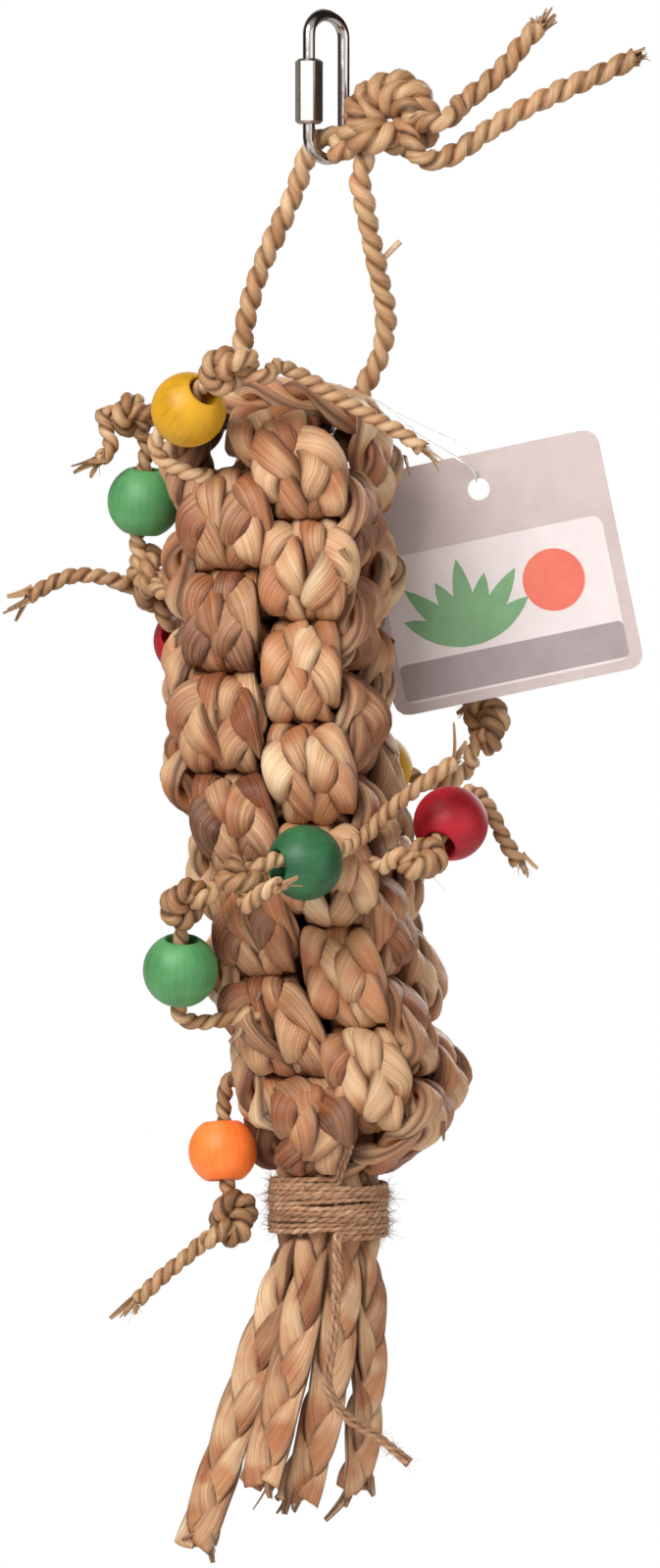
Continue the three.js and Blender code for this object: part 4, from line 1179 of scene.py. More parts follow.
def fibre_material(name, stops, girth, fibre, length, bump, roughness, blush="#f4e4dc", edge=0.0):
    """Dry plant fibre: noise drawn out along the strand, coloured by its tone and its fibres together.

    girth is the millimetres round a strand, fibre and length are the width and length of a fibre, bump
    is how far fibres stand up, and edge is how far a flat strand is made brown at its edges, by |cos u|^7:
    partly the leaf's own colour there, and partly painted shade where strands meet.
    """
    tree = new_material(name)
    around = girth / fibre
    tone = node(tree, "Attribute", attribute_name="tone").outputs["Fac"]
    fine = grain_noise(tree, around, length, 2.0, 0.6)
    broad = grain_noise(tree, around / BUNDLED, BUNDLED_LENGTH, 2.0, 0.5)
    stain = grain_noise(tree, around / STAINED, STAINED_LENGTH, 1.0, 0.5)
    mixed = node(tree, "Math", {
        0: node(tree, "Math", {0: fine, 1: FINE_SHARE}, operation="MULTIPLY"),
        1: node(tree, "Math", {0: broad, 1: 1 - FINE_SHARE}, operation="MULTIPLY"),
    }, operation="ADD")
    factor = node(tree, "Math", {
        0: node(tree, "Math", {0: tone, 1: TONE_SHARE}, operation="MULTIPLY"),
        1: node(tree, "Math", {0: mixed, 1: FIBRE_MEAN}, operation="SUBTRACT"),
    }, operation="ADD", use_clamp=True)
    colour = node(tree, "ValToRGB", {0: factor}, stops)
    patch = node(tree, "ValToRGB", {0: stain}, list(zip(STAIN_EDGES, (linear("#ffffff"), linear(blush)))))
    stained = node(tree, "Mix", {0: 1.0, 6: colour, 7: patch}, data_type="RGBA", blend_type="MULTIPLY")
    colour = stained.outputs[2]
    # Brown at the strand's edges: partly the leaf's own colour, partly painted shade where strands meet
    if edge:
        uv = node(tree, "SeparateXYZ", {0: node(tree, "UVMap", uv_map="grain")})
        turn = node(tree, "Math", {0: uv, 1: TURN}, operation="MULTIPLY")
        side = node(tree, "Math", {0: turn}, operation="COSINE")
        either = node(tree, "Math", {0: side}, operation="ABSOLUTE")
        rim = node(tree, "Math", {0: either, 1: RIM_POWER}, operation="POWER")
        share = node(tree, "Math", {0: rim, 1: edge}, operation="MULTIPLY")
        edge_brown_and_shade = node(tree, "Mix", {0: share, 6: colour, 7: linear(RIM_BROWN_AND_SHADE)}, data_type="RGBA")
        colour = edge_brown_and_shade.outputs[2]
    raised = node(tree, "Bump", {"Height": mixed, "Strength": 1.0, "Distance": bump * MM})
    shader = node(tree, "BsdfPrincipled", {
        "Base Color": colour, "Normal": raised, "Roughness": roughness, "Specular IOR Level": FIBRE_SHINE,
    })
    node(tree, "OutputMaterial", {0: shader})


# Thin paint on wood: millimetres round a bead, and the width and length of the grain and of patches
BEAD_GIRTH = 63.0
WOOD_GRAIN = (0.9, 16)
PAINT_PATCH = (10.5, 8)
GRAIN_SHARE = 0.35
PAINT_BUMP = 0.15
PAINT_BUMP_SHARE = 0.4
PAINT_ROUGHNESS = 0.48
PAINT_SHINE = 0.32


def paint_material(name, stops):
    """Thin satin paint on turned wood: the grain runs along the bead and shows through the paint."""
    tree = new_material(name)
    grain = grain_noise(tree, BEAD_GIRTH / WOOD_GRAIN[0], WOOD_GRAIN[1], 4.0, 0.65)
    cloud = grain_noise(tree, BEAD_GIRTH / PAINT_PATCH[0], PAINT_PATCH[1], 3.0, 0.5)
    shade = node(tree, "Math", {
        0: node(tree, "Math", {0: grain, 1: GRAIN_SHARE}, operation="MULTIPLY"),
        1: node(tree, "Math", {0: cloud, 1: 1 - GRAIN_SHARE}, operation="MULTIPLY"),
    }, operation="ADD")
    tone = node(tree, "Attribute", attribute_name="tone").outputs["Fac"]
    shift = node(tree, "Math", {0: tone, 1: PLAIN_TONE}, operation="SUBTRACT")
    toned = node(tree, "Math", {0: shade, 1: shift}, operation="ADD")
    raised = node(tree, "Bump", {
        "Height": grain, "Strength": PAINT_BUMP_SHARE, "Distance": PAINT_BUMP * MM,
    })
    shader = node(tree, "BsdfPrincipled", {
        "Base Color": node(tree, "ValToRGB", {0: toned}, stops), "Normal": raised,
        "Roughness": PAINT_ROUGHNESS, "Specular IOR Level": PAINT_SHINE,
    })
    node(tree, "OutputMaterial", {0: shader})


# Millimetres across worn patches of print, dimples of varnish and scuffs on steel. Real dimples and scuffs
# are 0.1 to 0.2 mm, and are drawn coarser so that they show
WEAR_SIZE = 8.0
WEAR_EDGES = (0.35, 0.6)
DIMPLE_SIZE = 0.8
DIMPLE_DEPTH = 0.05
DIMPLE_SHARE = 0.3
SCUFF_SIZE = 1.6
SCUFF_ROUGHNESS = 0.18


def card_material(name, ink, worn, roughness):
    """Coated print on card: faint cloudy wear in the ink and a fine orange-peel in the varnish."""
    tree = new_material(name)
    where = node(tree, "TexCoord").outputs["Object"]
    cloud = node(tree, "TexNoise", {
        "Vector": where, "Scale": 1 / (WEAR_SIZE * MM), "Detail": 6.0, "Roughness": 0.7,
    })
    colour = node(tree, "ValToRGB", {0: cloud}, list(zip(WEAR_EDGES, (linear(worn), linear(ink)))))
    peel = node(tree, "TexNoise", {"Vector": where, "Scale": 1 / (DIMPLE_SIZE * MM), "Detail": 2.0})
    raised = node(tree, "Bump", {"Height": peel, "Strength": DIMPLE_SHARE, "Distance": DIMPLE_DEPTH * MM})
    shader = node(tree, "BsdfPrincipled", {"Base Color": colour, "Normal": raised, "Roughness": roughness})
    node(tree, "OutputMaterial", {0: shader})


def metal_material(name, colour, roughness):
    """Bare or plated steel with fine scuffs in its roughness."""
    tree = new_material(name)
    where = node(tree, "TexCoord").outputs["Object"]
    scuff = node(tree, "TexNoise", {"Vector": where, "Scale": 1 / (SCUFF_SIZE * MM), "Detail": 4.0})
    rough = node(tree, "Math", {
        0: node(tree, "Math", {0: scuff, 1: SCUFF_ROUGHNESS}, operation="MULTIPLY"),
        1: roughness - SCUFF_ROUGHNESS / 2,
    }, operation="ADD")
    shader = node(tree, "BsdfPrincipled", {"Base Color": colour, "Metallic": 1.0, "Roughness": rough})
    node(tree, "OutputMaterial", {0: shader})


def clear_material(name):
    """Drawn clear plastic: smooth, and seen through."""
    tree = new_material(name)
    shader = node(tree, "BsdfPrincipled", {
        "Base Color": linear("#f2f2f0"), "Roughness": 0.15, "Transmission Weight": 0.6,
    })
    node(tree, "OutputMaterial", {0: shader})


# Offset print under a satin varnish gives even ink, a little clouded, with a soft sheen. The cut edge is
# bare grey board, and is matt
CARDS = (
    ("Printed card border", "#beaeac", "#b8a7a4", 0.35),
    ("Raw card edge", "#a89b94", "#95887f", 0.8),
    ("Printed card panel", "#d8cecd", "#d3c8c7", 0.35),
    ("Printed card band", "#9a8f8e", "#938786", 0.35),
    ("Printed card green", "#739c70", "#6a9367", 0.35),
    ("Printed card coral", "#d66c57", "#cf6450", 0.35),
)


def make_materials():
    """Every material, named for the real one."""
    chosen = settings()
    leaf = tinted(LEAF_STOPS, FIBRE_MAIN, chosen.leaf_colour)
    grass = tinted(GRASS_STOPS, FIBRE_MAIN, chosen.grass_colour)
    jute = tinted(JUTE_STOPS, FIBRE_MAIN, chosen.jute_colour)
    # Dried leaf, folded flat: long pale and brown ribs, edges turned brown, partly the leaf's own colour
    # and partly painted shade where strands meet, and a dull sheen. Its ribs of about 0.15 mm are drawn at
    # 0.3 mm, so that they show
    fibre_material("Dried leaf braid", leaf, girth=21.6, fibre=0.3, length=32, bump=1.0, roughness=0.45,
                   blush="#debba8", edge=0.8)
    # Leaf and grass cut across: dark, matt and pitted
    fibre_material("Cut leaf ends", leaf[:CUT_STOPS], girth=10, fibre=0.5, length=2.5, bump=0.3,
                   roughness=0.8)
    fibre_material("Cut seagrass ends", grass[:CUT_STOPS], girth=10, fibre=0.5, length=2.5, bump=0.3,
                   roughness=0.85)
    # Seagrass spun by hand: short blades from straw to brown, with a slight gloss
    fibre_material("Twisted seagrass", grass, girth=17.6, fibre=0.4, length=12.5, bump=0.3, roughness=0.5)
    # Jute yarn: matt and hairy. Its fibres of about 0.05 mm are drawn at 0.3 mm, so that they show
    fibre_material("Spun jute", jute, girth=4.8, fibre=0.3, length=3, bump=0.25, roughness=0.85)
    # Satin paint on turned wood: strong flat colour, with soft highlights broken by the grain
    for colour, stops in PAINTS.items():
        stops = tinted(stops, PAINT_MAIN, getattr(chosen, colour + "_paint"))
        paint_material(colour.capitalize() + " painted wood", stops)
    # Zinc plate on drawn wire: bright, with sharp reflections
    metal_material("Plated steel wire", (*chosen.steel_colour, 1.0), 0.16)
    # Steel turned from bar: darker and softer than the wire
    metal_material("Turned steel nut", linear("#9c948d"), 0.3)
    # Drawn plastic: nearly unseen, with a thin bright line
    clear_material("Clear plastic thread")
    for row in CARDS:
        card_material(*row)
    # Matt painted board: plain and pale
    card_material("Pale floor", "#f4f2ef", "#efece8", 0.7)


def material(name):
    """A material by name. The first call makes them all."""
    if name not in bpy.data.materials:
        make_materials()
    return bpy.data.materials[name]


def finished(made, body, slot, *nodes):
    """Puts a piece on its CAD body in place of CAD nodes. slot is not used."""
    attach(made, body)
    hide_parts(*nodes)
    return made


# The camera's sensor in millimetres, and its reach in metres
SENSOR = 24
CLIP_END = 20


class TOY_OT_camera(bpy.types.Operator):
    """Places the camera so that the photo's pixels and the toy's millimetres agree."""

    bl_idname = "bird_toy.camera"
    bl_label = "Camera"

    def execute(self, context):
        """Level, in front of the photo's middle, with a lens whose view is the photo's height."""
        data = bpy.data.cameras.new("Photo camera")
        camera = bpy.data.objects.new("Photo camera", data)
        context.scene.collection.objects.link(camera)
        away = settings().camera_distance
        middle_x = (PHOTO[0] / 2 - PHOTO_ORIGIN[0]) * PIXEL
        middle_z = (PHOTO_ORIGIN[1] - PHOTO[1] / 2) * PIXEL
        camera.location = (middle_x * MM, -away, middle_z * MM)
        camera.rotation_euler = (math.pi / 2, 0, 0)
        data.sensor_fit = "VERTICAL"
        data.sensor_height = SENSOR
        data.lens = SENSOR * away / (PHOTO[1] * PIXEL * MM)
        data.clip_end = CLIP_END
        context.scene.camera = camera
        return {"FINISHED"}


CORD_TONES = (0.35, 0.7)


class TOY_OT_cords(bpy.types.Operator):
    """Twists the bead cords along their courses."""

    bl_idname = "bird_toy.cords"
    bl_label = "Bead cords"

    def execute(self, context):
        """One twisted skin for each cord."""
        for number, (name, items) in enumerate(CORDS.items()):
            rng = draws(number)
            line, at, radius = cord_course(items)
            mesh = Mesh()
            tone = knot_tone(rng.uniform(*CORD_TONES), radius, CORD_DIAMETER)
            twisted(mesh, line, at, radius, settings().cord_pitch / MM, rng, tone=tone)
            made = mesh.build(name + "_twisted", "Twisted seagrass", "Cut seagrass ends")
            finished(made, "toy", "seagrass_cord", name)
        return {"FINISHED"}


ROPE_TONE = 0.55
ROPE_AROUND = 24


class TOY_OT_rope(bpy.types.Operator):
    """Twists the hanging rope along its knotted course."""

    bl_idname = "bird_toy.rope"
    bl_label = "Hanging rope"

    def execute(self, context):
        """One twisted skin from end to end."""
        rng = draws(ROPE_DRAWS)
        line, at, radius = rope_course()
        mesh = Mesh()
        tone = knot_tone(ROPE_TONE, radius, ROPE_DIAMETER)
        twisted(mesh, line, at, radius, settings().rope_pitch / MM, rng, around=ROPE_AROUND, tone=tone)
        made = mesh.build("hanging_rope_twisted", "Twisted seagrass", "Cut seagrass ends")
        finished(made, "toy", "seagrass_rope", "hanging_rope")
        return {"FINISHED"}


# Fibres at cut ends: number, reach and thickness
ROPE_FRAY = (18, 2.6, 0.5)
CORD_FRAY = (10, 4.0, 0.35)

# Single hairs along each cord: number, scatter of their ways, reach and thickness, and tone
CORD_HAIRS = 5
CORD_HAIR_SPLAY = 0.7
CORD_HAIR = (7.0, 0.22)
CORD_HAIR_TONE = 0.6

# The rope's upper end is splayed into thick blades: the same, with their way and droop
BLADES = 9
BLADE_SCATTER = 1.1
BLADE_WAY = np.array([0.35, -0.1, 0.9])
BLADE_SPLAY = 0.5
BLADE = (5.0, 2.4)
BLADE_DROOP = -0.1

# A stiff stub of grass that stands out of the rope's right leg
STUB = ((12.6, -4, -66.5), (19.7, -5, -59.3))
STUB_RADIUS = 0.8
STUB_TONE = 0.95


class TOY_OT_fibres(bpy.types.Operator):
    """Adds the loose fibres of the rope's and cords' cut ends, and the rope's stiff stub."""

    bl_idname = "bird_toy.fibres"
    bl_label = "Loose fibres"

    def execute(self, context):
        """Frayed ends, hairs that keep clear of the beads, blades and the stub, in one piece."""
        rng = draws(FIBRE_DRAWS)
        mesh = Mesh()
        rope = rope_course()[0]
        frayed(mesh, rope, rng, *ROPE_FRAY)
        beads = [beside(bead[0]) for bead in BEADS.values()]
        for items in CORDS.values():
            line = cord_course(items)[0]
            frayed(mesh, line, rng, *CORD_FRAY)
            away = np.linalg.norm(line[:, None] - beads, axis=-1).min(1)
            some = rng.choice(np.flatnonzero(away > BEAD_DIAMETER), CORD_HAIRS)
            ways = tangents(line)[some] + rng.normal(0, CORD_HAIR_SPLAY, (CORD_HAIRS, 3))
            hairs(mesh, line[some], ways, *CORD_HAIR, rng, CORD_HAIR_TONE)
        roots = rope[-1] + rng.normal(0, BLADE_SCATTER, (BLADES, 3))
        ways = BLADE_WAY + rng.normal(0, BLADE_SPLAY, (BLADES, 3))
        hairs(mesh, roots, ways, *BLADE, rng, PLAIN_TONE, droop=BLADE_DROOP)
        stub = np.linspace(*STUB, 8)
        mesh.grid(tube(stub, STUB_RADIUS, 10), lengths(stub), STUB_TONE)
        made = mesh.build("loose_fibres", "Twisted seagrass")
        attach(made, "toy")
        return {"FINISHED"}


# Column braids: name, the quarter that one half goes down in, and its row
BRAIDS = (
    ("braid_front_back_left", 0, 0),
    ("braid_front_back_right", 0, 1),
    ("braid_left_right_front", 1, 0),
    ("braid_left_right_back", 1, 1),
)

# Slivers: number, share of the bulge past which a lobe is outside, share of the thickness where they
# start, share of the width aside, lift, lengths, widths and tones
SLIVERS = 5
SLIVER_BULGE = 0.6
SLIVER_OUT = 0.42
SLIVER_ASIDE = 0.4
SLIVER_LIFT = 0.2
SLIVER_LENGTHS = (3, 5.5)
SLIVER_WIDTHS = (2, 3.4)
SLIVER_TONES = (0.5, 0.9)


class TOY_OT_braids(bpy.types.Operator):
    """Plaits the four leaf braids of the column."""

    bl_idname = "bird_toy.braids"
    bl_label = "Column braids"

    def execute(self, context):
        """Each braid is one half turned end for end, then the opposite half, joined over the top."""
        for number, (name, quarter, row) in enumerate(BRAIDS):
            rng = draws(BRAID_DRAWS + number)
            up = [(r[0], -r[1], *r[2:]) for r in half_braid(quarter + 2, 1 - row)[::-1]]
            down = half_braid(quarter, row)
            counts = [r[4] for r in up[1:]] + [TOP_SAMPLES] + [r[4] for r in down[:-1]]
            course = band_course(up + down, counts)
            mesh = Mesh()
            plait(mesh, *course, settings().plait_period / MM, rng, leaf_to_toy, UNDER_SHADE)
            self.slivers(mesh, *course, rng)
            made = mesh.build(name + "_plait", "Dried leaf braid", "Cut leaf ends")
            finished(made, "toy", "hyacinth_braid", name)
        return {"FINISHED"}

    def slivers(self, mesh, line, across, width, thickness, rng):
        """A few narrow leaf tips that have worked loose on the outer side of the lobes."""
        outer = np.flatnonzero(np.hypot(line[:, 0], line[:, 1]) > PASS_END + LOBE_BULGE * SLIVER_BULGE)
        along = tangents(line)
        for i in rng.choice(outer, SLIVERS, replace=False):
            out = unit(line[i] * (1, 1, 0))
            aside = across[i] * width[i] * rng.uniform(-SLIVER_ASIDE, SLIVER_ASIDE)
            root = to_toy(line[i] + out * thickness[i] * SLIVER_OUT + aside)
            way = along[i] * rng.choice((-1, 1)) + out * rng.uniform(0, SLIVER_LIFT)
            way, face = turn_z([way, out], COLUMN_TURN)
            length = rng.uniform(*SLIVER_LENGTHS)
            wide = rng.uniform(*SLIVER_WIDTHS)
            leaf_strip(mesh, root, way, face, length, wide, rng, rng.uniform(*SLIVER_TONES))


# Leaf strips at a tail's cut end: number, samples back from the end, places across, scatter of roots and
# ways, lengths, widths and tones
TAIL_STRIPS = 6
TAIL_STRIP_START = 6
TAIL_STRIP_ASIDE = 3.6
TAIL_STRIP_SCATTER = 0.5
TAIL_STRIP_SPLAY = 0.18
TAIL_STRIP_LENGTHS = (4, 11)
TAIL_STRIP_WIDTHS = (1.6, 4)
TAIL_STRIP_TONES = (0.3, 0.9)


class TOY_OT_tails(bpy.types.Operator):
    """Plaits the eight tails and adds the leaf strips at their cut ends."""

    bl_idname = "bird_toy.tails"
    bl_label = "Tails"

    def execute(self, context):
        """One plait and its strips for each tail."""
        for number, (name, bend, tip, facing) in enumerate(TAILS):
            rng = draws(TAIL_DRAWS + number)
            course = tail_course(number, bend, tip, facing)
            mesh = Mesh()
            plait(mesh, *course, settings().tail_period / MM, rng, np.asarray, 0)
            self.strips(mesh, *course[:2], rng)
            made = mesh.build(name + "_plait", "Dried leaf braid", "Cut leaf ends")
            finished(made, "toy", "hyacinth_braid", name)
        return {"FINISHED"}

    def strips(self, mesh, line, across, rng):
        """Leaf strips that stand out of the cut end, about along the tail."""
        last = tangents(line)[-1]
        for _ in range(TAIL_STRIPS):
            face = rng.normal(0, 1, 3)
            aside = across[-1] * rng.uniform(-TAIL_STRIP_ASIDE, TAIL_STRIP_ASIDE)
            root = line[-TAIL_STRIP_START] + aside + rng.normal(0, TAIL_STRIP_SCATTER, 3)
            way = last + rng.normal(0, TAIL_STRIP_SPLAY, 3)
            length = rng.uniform(*TAIL_STRIP_LENGTHS)
            width = rng.uniform(*TAIL_STRIP_WIDTHS)
            leaf_strip(mesh, root, way, face, length, width, rng, rng.uniform(*TAIL_STRIP_TONES))


# The twine's loose end from the binding's foot, and its tucked end from the binding's head
TWINE_TAIL = (
    (21.6, -23, -58), (13, -23.5, -51), (4.2, -24, -45), (0, -24, -38), (1.5, -22.5, -24), (2.2, -18.5, -9),
)
TWINE_TOP = ((4, -17, 3.5), (5, -19.6, 6.2), (5.6, -22.6, 8.6))
TWINE_SAMPLES = 12
TWINE_TURN_SAMPLES = 60
TWINE_STEP = 0.5
TWINE_START = math.radians(-81)

# Turns stray up by S sin(1.37 a) and out by D (1 + sin(2.3 a)), and not at their two ends
TWINE_SLACK = 0.5
TWINE_SLACK_WAVE = 1.37
TWINE_STRAY = 0.35
TWINE_STRAY_WAVE = 2.3
TWINE_CORNER = 0.3 * BUNDLE_WIDTH


def twine_course():
    """One line: loose end, helix round the tassel's ring of ends, and the tucked end."""
    foot = np.array([lean_at(BINDING_MIDDLE), 0, BINDING_BOTTOM])
    head = np.array([foot[0], 0, BINDING_TOP])
    turn = np.linspace(0, TWINE_TURNS, TWINE_TURNS * TWINE_TURN_SAMPLES + 1)
    angle = TWINE_START + TURN * turn
    fade = np.sin(math.pi * turn / TWINE_TURNS)
    rise = TWINE_DIAMETER + TWINE_PITCH * turn + TWINE_SLACK * fade * np.sin(TWINE_SLACK_WAVE * angle)
    reach = math.hypot(BUNDLE_RADIUS + BUNDLE_THICKNESS / 2, TWINE_CORNER) + TOUCH_GAP + TWINE_DIAMETER / 2
    reach = reach + TWINE_STRAY * fade * (1 + np.sin(TWINE_STRAY_WAVE * angle))
    helix = foot + np.stack([reach * np.cos(angle), reach * np.sin(angle), rise], -1)
    lower = smooth_line([*(np.array(TWINE_TAIL) + foot), helix[0]], TWINE_SAMPLES)
    upper = smooth_line([helix[-1], *(np.array(TWINE_TOP) + head)], TWINE_SAMPLES)
    return even(np.vstack([lower[:-1], helix, upper[1:]]), TWINE_STEP)


# Two strands side by side: half their spacing, range of thickness, how far they stray, and how often
TWINE_STRAND = 0.62
TWINE_THICKNESS = (1.05, 1.45)
TWINE_THICKNESS_SPACING = 6
TWINE_WAVER = 0.4
TWINE_WAVER_SPACING = 9
TWINE_AROUND = 10
TWINE_GROOVE = 0.25

# Hairs: number, radians round the twine, slopes out and along, reach and thickness, tone, droop, samples
TWINE_HAIRS = 2600
TWINE_HAIR_ROUND = 6.28
TWINE_HAIR_OUT = 0.7
TWINE_HAIR_ALONG = 1.2
TWINE_HAIR = (4.2, 0.19)
TWINE_HAIR_TONE = 0.7
TWINE_HAIR_DROOP = 0.1
TWINE_HAIR_SAMPLES = 5


class TOY_OT_twine(bpy.types.Operator):
    """Spins the jute twine of the binding, with its hairs."""

    bl_idname = "bird_toy.twine"
    bl_label = "Twine"

    def execute(self, context):
        """Two spun strands side by side along the helix, then their hairs as a piece of their own."""
        rng = draws(TWINE_DRAWS)
        line, at = twine_course()
        mesh = Mesh()
        axis = np.array([lean_at(BINDING_MIDDLE), 0, 0])
        out = unit((line - axis) * (1, 1, 0))
        beside_it = unit(np.cross(tangents(line), out))
        for offset in (-TWINE_STRAND, TWINE_STRAND):
            waver = offset + TWINE_WAVER * (wander(at, TWINE_WAVER_SPACING, rng) - 0.5)
            strand = line + beside_it * waver[:, None]
            radius = TWINE_STRAND * mix(*TWINE_THICKNESS, wander(at, TWINE_THICKNESS_SPACING, rng))
            twisted(mesh, strand, at, radius, settings().twine_pitch / MM, rng, TWINE_AROUND, TWINE_GROOVE)
        made = mesh.build("twine_spun", "Spun jute", "Spun jute")
        finished(made, "toy", "jute_twine", "twine_binding")
        self.fuzz(line, rng)
        return {"FINISHED"}

    def fuzz(self, line, rng):
        """Hairs that leave the twine all round, mostly along it."""
        some = rng.choice(len(line) - 2, TWINE_HAIRS) + 1
        across, third = carried_frame(line)
        angle = rng.uniform(0, TWINE_HAIR_ROUND, TWINE_HAIRS)[:, None]
        out = across[some] * np.cos(angle) + third[some] * np.sin(angle)
        slope = rng.normal(0, TWINE_HAIR_ALONG, (TWINE_HAIRS, 1))
        ways = out * TWINE_HAIR_OUT + tangents(line)[some] * slope
        mesh = Mesh()
        hairs(mesh, line[some] + out * TWINE_HAIR_OUT, ways, *TWINE_HAIR, rng, TWINE_HAIR_TONE,
              droop=TWINE_HAIR_DROOP, steps=TWINE_HAIR_SAMPLES)
        hair = mesh.build("twine_hairs", "Spun jute")
        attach(hair, "toy")


# A bead's eased rim: its width, its depth, and the place of its middle from the bore's edge
RIM_WIDTH = 0.5
RIM_DEPTH = 0.55
RIM_MIDDLE = (0.16, 0.36)
BEAD_RINGS = 34
BEAD_AROUND = 48
BEAD_SIDE = (0.3, 0.5, 0.8)


class TOY_OT_beads(bpy.types.Operator):
    """Turns the painted wooden beads: a ball with a bore and eased rims."""

    bl_idname = "bird_toy.beads"
    bl_label = "Beads"

    def execute(self, context):
        """A profile (r sin a, -r cos a) between two rims, spun about the cord, and the bore inside it.

        A bead hangs from its cord, so its middle lies below it by the slack in the bore.
        """
        for name, (at, run, paint, diameter, tone) in BEADS.items():
            axis = unit(run)
            down = unit(np.array([0, 0, -1.0]) + axis * axis[2])
            centre = beside(at) + down * BEAD_SLACK
            ball = diameter / 2
            bore = BEAD_BORE / 2
            edge = math.asin((bore + RIM_WIDTH) / ball)
            arc = np.linspace(edge, math.pi - edge, BEAD_RINGS)
            inside = math.sqrt(ball**2 - (bore + RIM_WIDTH) ** 2) - RIM_DEPTH
            rim = np.array([(bore + RIM_MIDDLE[0], inside + RIM_MIDDLE[1]), (bore, inside)])
            curve = np.stack([ball * np.sin(arc), -ball * np.cos(arc)], -1)
            profile = np.vstack([rim[::-1] * (1, -1), curve, rim])
            side = unit(np.cross(axis, BEAD_SIDE))
            out = on_circle(angles(BEAD_AROUND)) @ np.stack([side, np.cross(axis, side)])
            rings = centre + out[None] * profile[:, None, :1] + axis * profile[:, None, 1:]
            mesh = Mesh()
            mesh.grid(rings, lengths(profile), tone, caps=False)
            mesh.grid(rings[[-1, 0]], np.array([0, 2 * inside]), tone, caps=False)
            made = mesh.build(name + "_turned", paint.capitalize() + " painted wood")
            finished(made, name.replace("bead_", ""), paint + "_wood", name)
        return {"FINISHED"}


# The wire's lower end stands this far up in the nut, and its upper end is this far above it
WIRE_IN_NUT = 2.4
WIRE_OPENING = 4.4
WIRE_BEND_SAMPLES = 40
WIRE_STEP = 0.7
WIRE_AROUND = 20

# The nut's corners are blunted, and turned off at both ends: height and reach of its face and its edge
NUT_AROUND = 72
NUT_BLUNT = 0.12
NUT_ROOM = 0.12
NUT_FACE = (0, 2.9)
NUT_EDGE = (0.12, 3.1)
NUT_CHAMFER = 0.75


class TOY_OT_link(bpy.types.Operator):
    """Bends the quick link's wire and turns its nut."""

    bl_idname = "bird_toy.link"
    bl_label = "Quick link"

    def execute(self, context):
        """A round wire along two straight bars and two half ellipses, open in the nut."""
        bar = (LINK_WIDTH - LINK_WIRE) / 2
        rise = (LINK_HEIGHT - LINK_WIRE - LINK_STRAIGHT) / 2
        middle = LINK_WIRE - LINK_HEIGHT / 2
        way = np.array([math.cos(LINK_TURN), math.sin(LINK_TURN), 0])
        low = NUT_TOP - NUT_LENGTH + WIRE_IN_NUT
        bend = on_circle(np.linspace(0, math.pi, WIRE_BEND_SAMPLES)) * (bar, rise) + (0, LINK_STRAIGHT / 2)
        flat = np.vstack([
            [(-bar, low)],
            (0, middle) - bend,
            (0, middle) + bend,
            [(-bar, low + WIRE_OPENING)],
        ])
        line, at = even(way * flat[:, :1] + np.array([0, 0, 1.0]) * flat[:, 1:], WIRE_STEP)
        mesh = Mesh()
        mesh.grid(tube(line, LINK_WIRE / 2, WIRE_AROUND), at)
        made = mesh.build("quick_link_wire", "Plated steel wire")
        finished(made, "link", "link_steel", "quick_link")
        self.nut(way * -bar)
        return {"FINISHED"}

    def nut(self, place):
        """A long hexagon whose corners are turned off at both ends, round the wire.

        The hexagon's reach is half its flats over the cosine of the angle from the nearest flat.
        """
        angle = angles(NUT_AROUND)
        hexagon = NUT_FLATS / 2 / np.cos(angle % (math.pi / 3) - math.pi / 6)
        hexagon = np.minimum(hexagon, NUT_FLATS / math.sqrt(3) - NUT_BLUNT)
        end = ((0, LINK_WIRE / 2 + NUT_ROOM), NUT_FACE, NUT_EDGE, (NUT_CHAMFER, NUT_FLATS))
        stations = np.array(end + tuple((NUT_LENGTH - height, reach) for height, reach in end[::-1]))
        radius = np.minimum(hexagon, stations[:, 1:])
        out = np.pad(on_circle(angle + LINK_TURN), ((0, 0), (0, 1)))
        rings = place + out * radius[..., None]
        rings[..., 2] += NUT_TOP - NUT_LENGTH + stations[:, :1]
        mesh = Mesh()
        mesh.grid(rings, stations[:, 0], caps=False)
        mesh.grid(rings[[-1, 0]], np.array([0, NUT_LENGTH]), caps=False)
        made = mesh.build("link_nut_turned", "Turned steel nut", smooth=False)
        finished(made, "nut", "nut_steel", "link_nut")


def rounded(width, height, corner, steps=8):
    """Outline of a rounded oblong, anticlockwise, as (right, up) pairs: an arc at each corner."""
    pieces = []
    for number, (sx, sy) in enumerate(((1, 1), (-1, 1), (-1, -1), (1, -1))):
        angle = np.linspace(0, math.pi / 2, steps) + number * math.pi / 2
        centre = np.array([sx * (width / 2 - corner), sy * (height / 2 - corner)])
        pieces.append(centre + corner * on_circle(angle))
    return np.vstack(pieces)


def even_loop(outline, count):
    """A closed outline walked in equal steps."""
    closed = np.vstack([outline, outline[:1]])
    walked = lengths(closed)
    return read_off(np.linspace(0, walked[-1], count, endpoint=False), walked, closed)


def leaf_outline(root, way, length, width, steps=9):
    """A pointed leaf: half width w sin(pi t)^0.8 along its way."""
    t = np.linspace(0, 1, steps)[:, None]
    middle = np.array(root) + way * length * t
    half = np.array([-way[1], way[0]]) * width / 2 * np.sin(math.pi * t) ** 0.8
    return np.vstack([middle - half, (middle + half)[-2:0:-1]])


# The card: corner radius, points at a corner and round its edge, and millimetres of card beside the hole
TAG_CORNER = 4.0
TAG_CORNER_POINTS = 10
TAG_POINTS = 120
TAG_MARGIN = 9.0
RAW_EDGE = 1

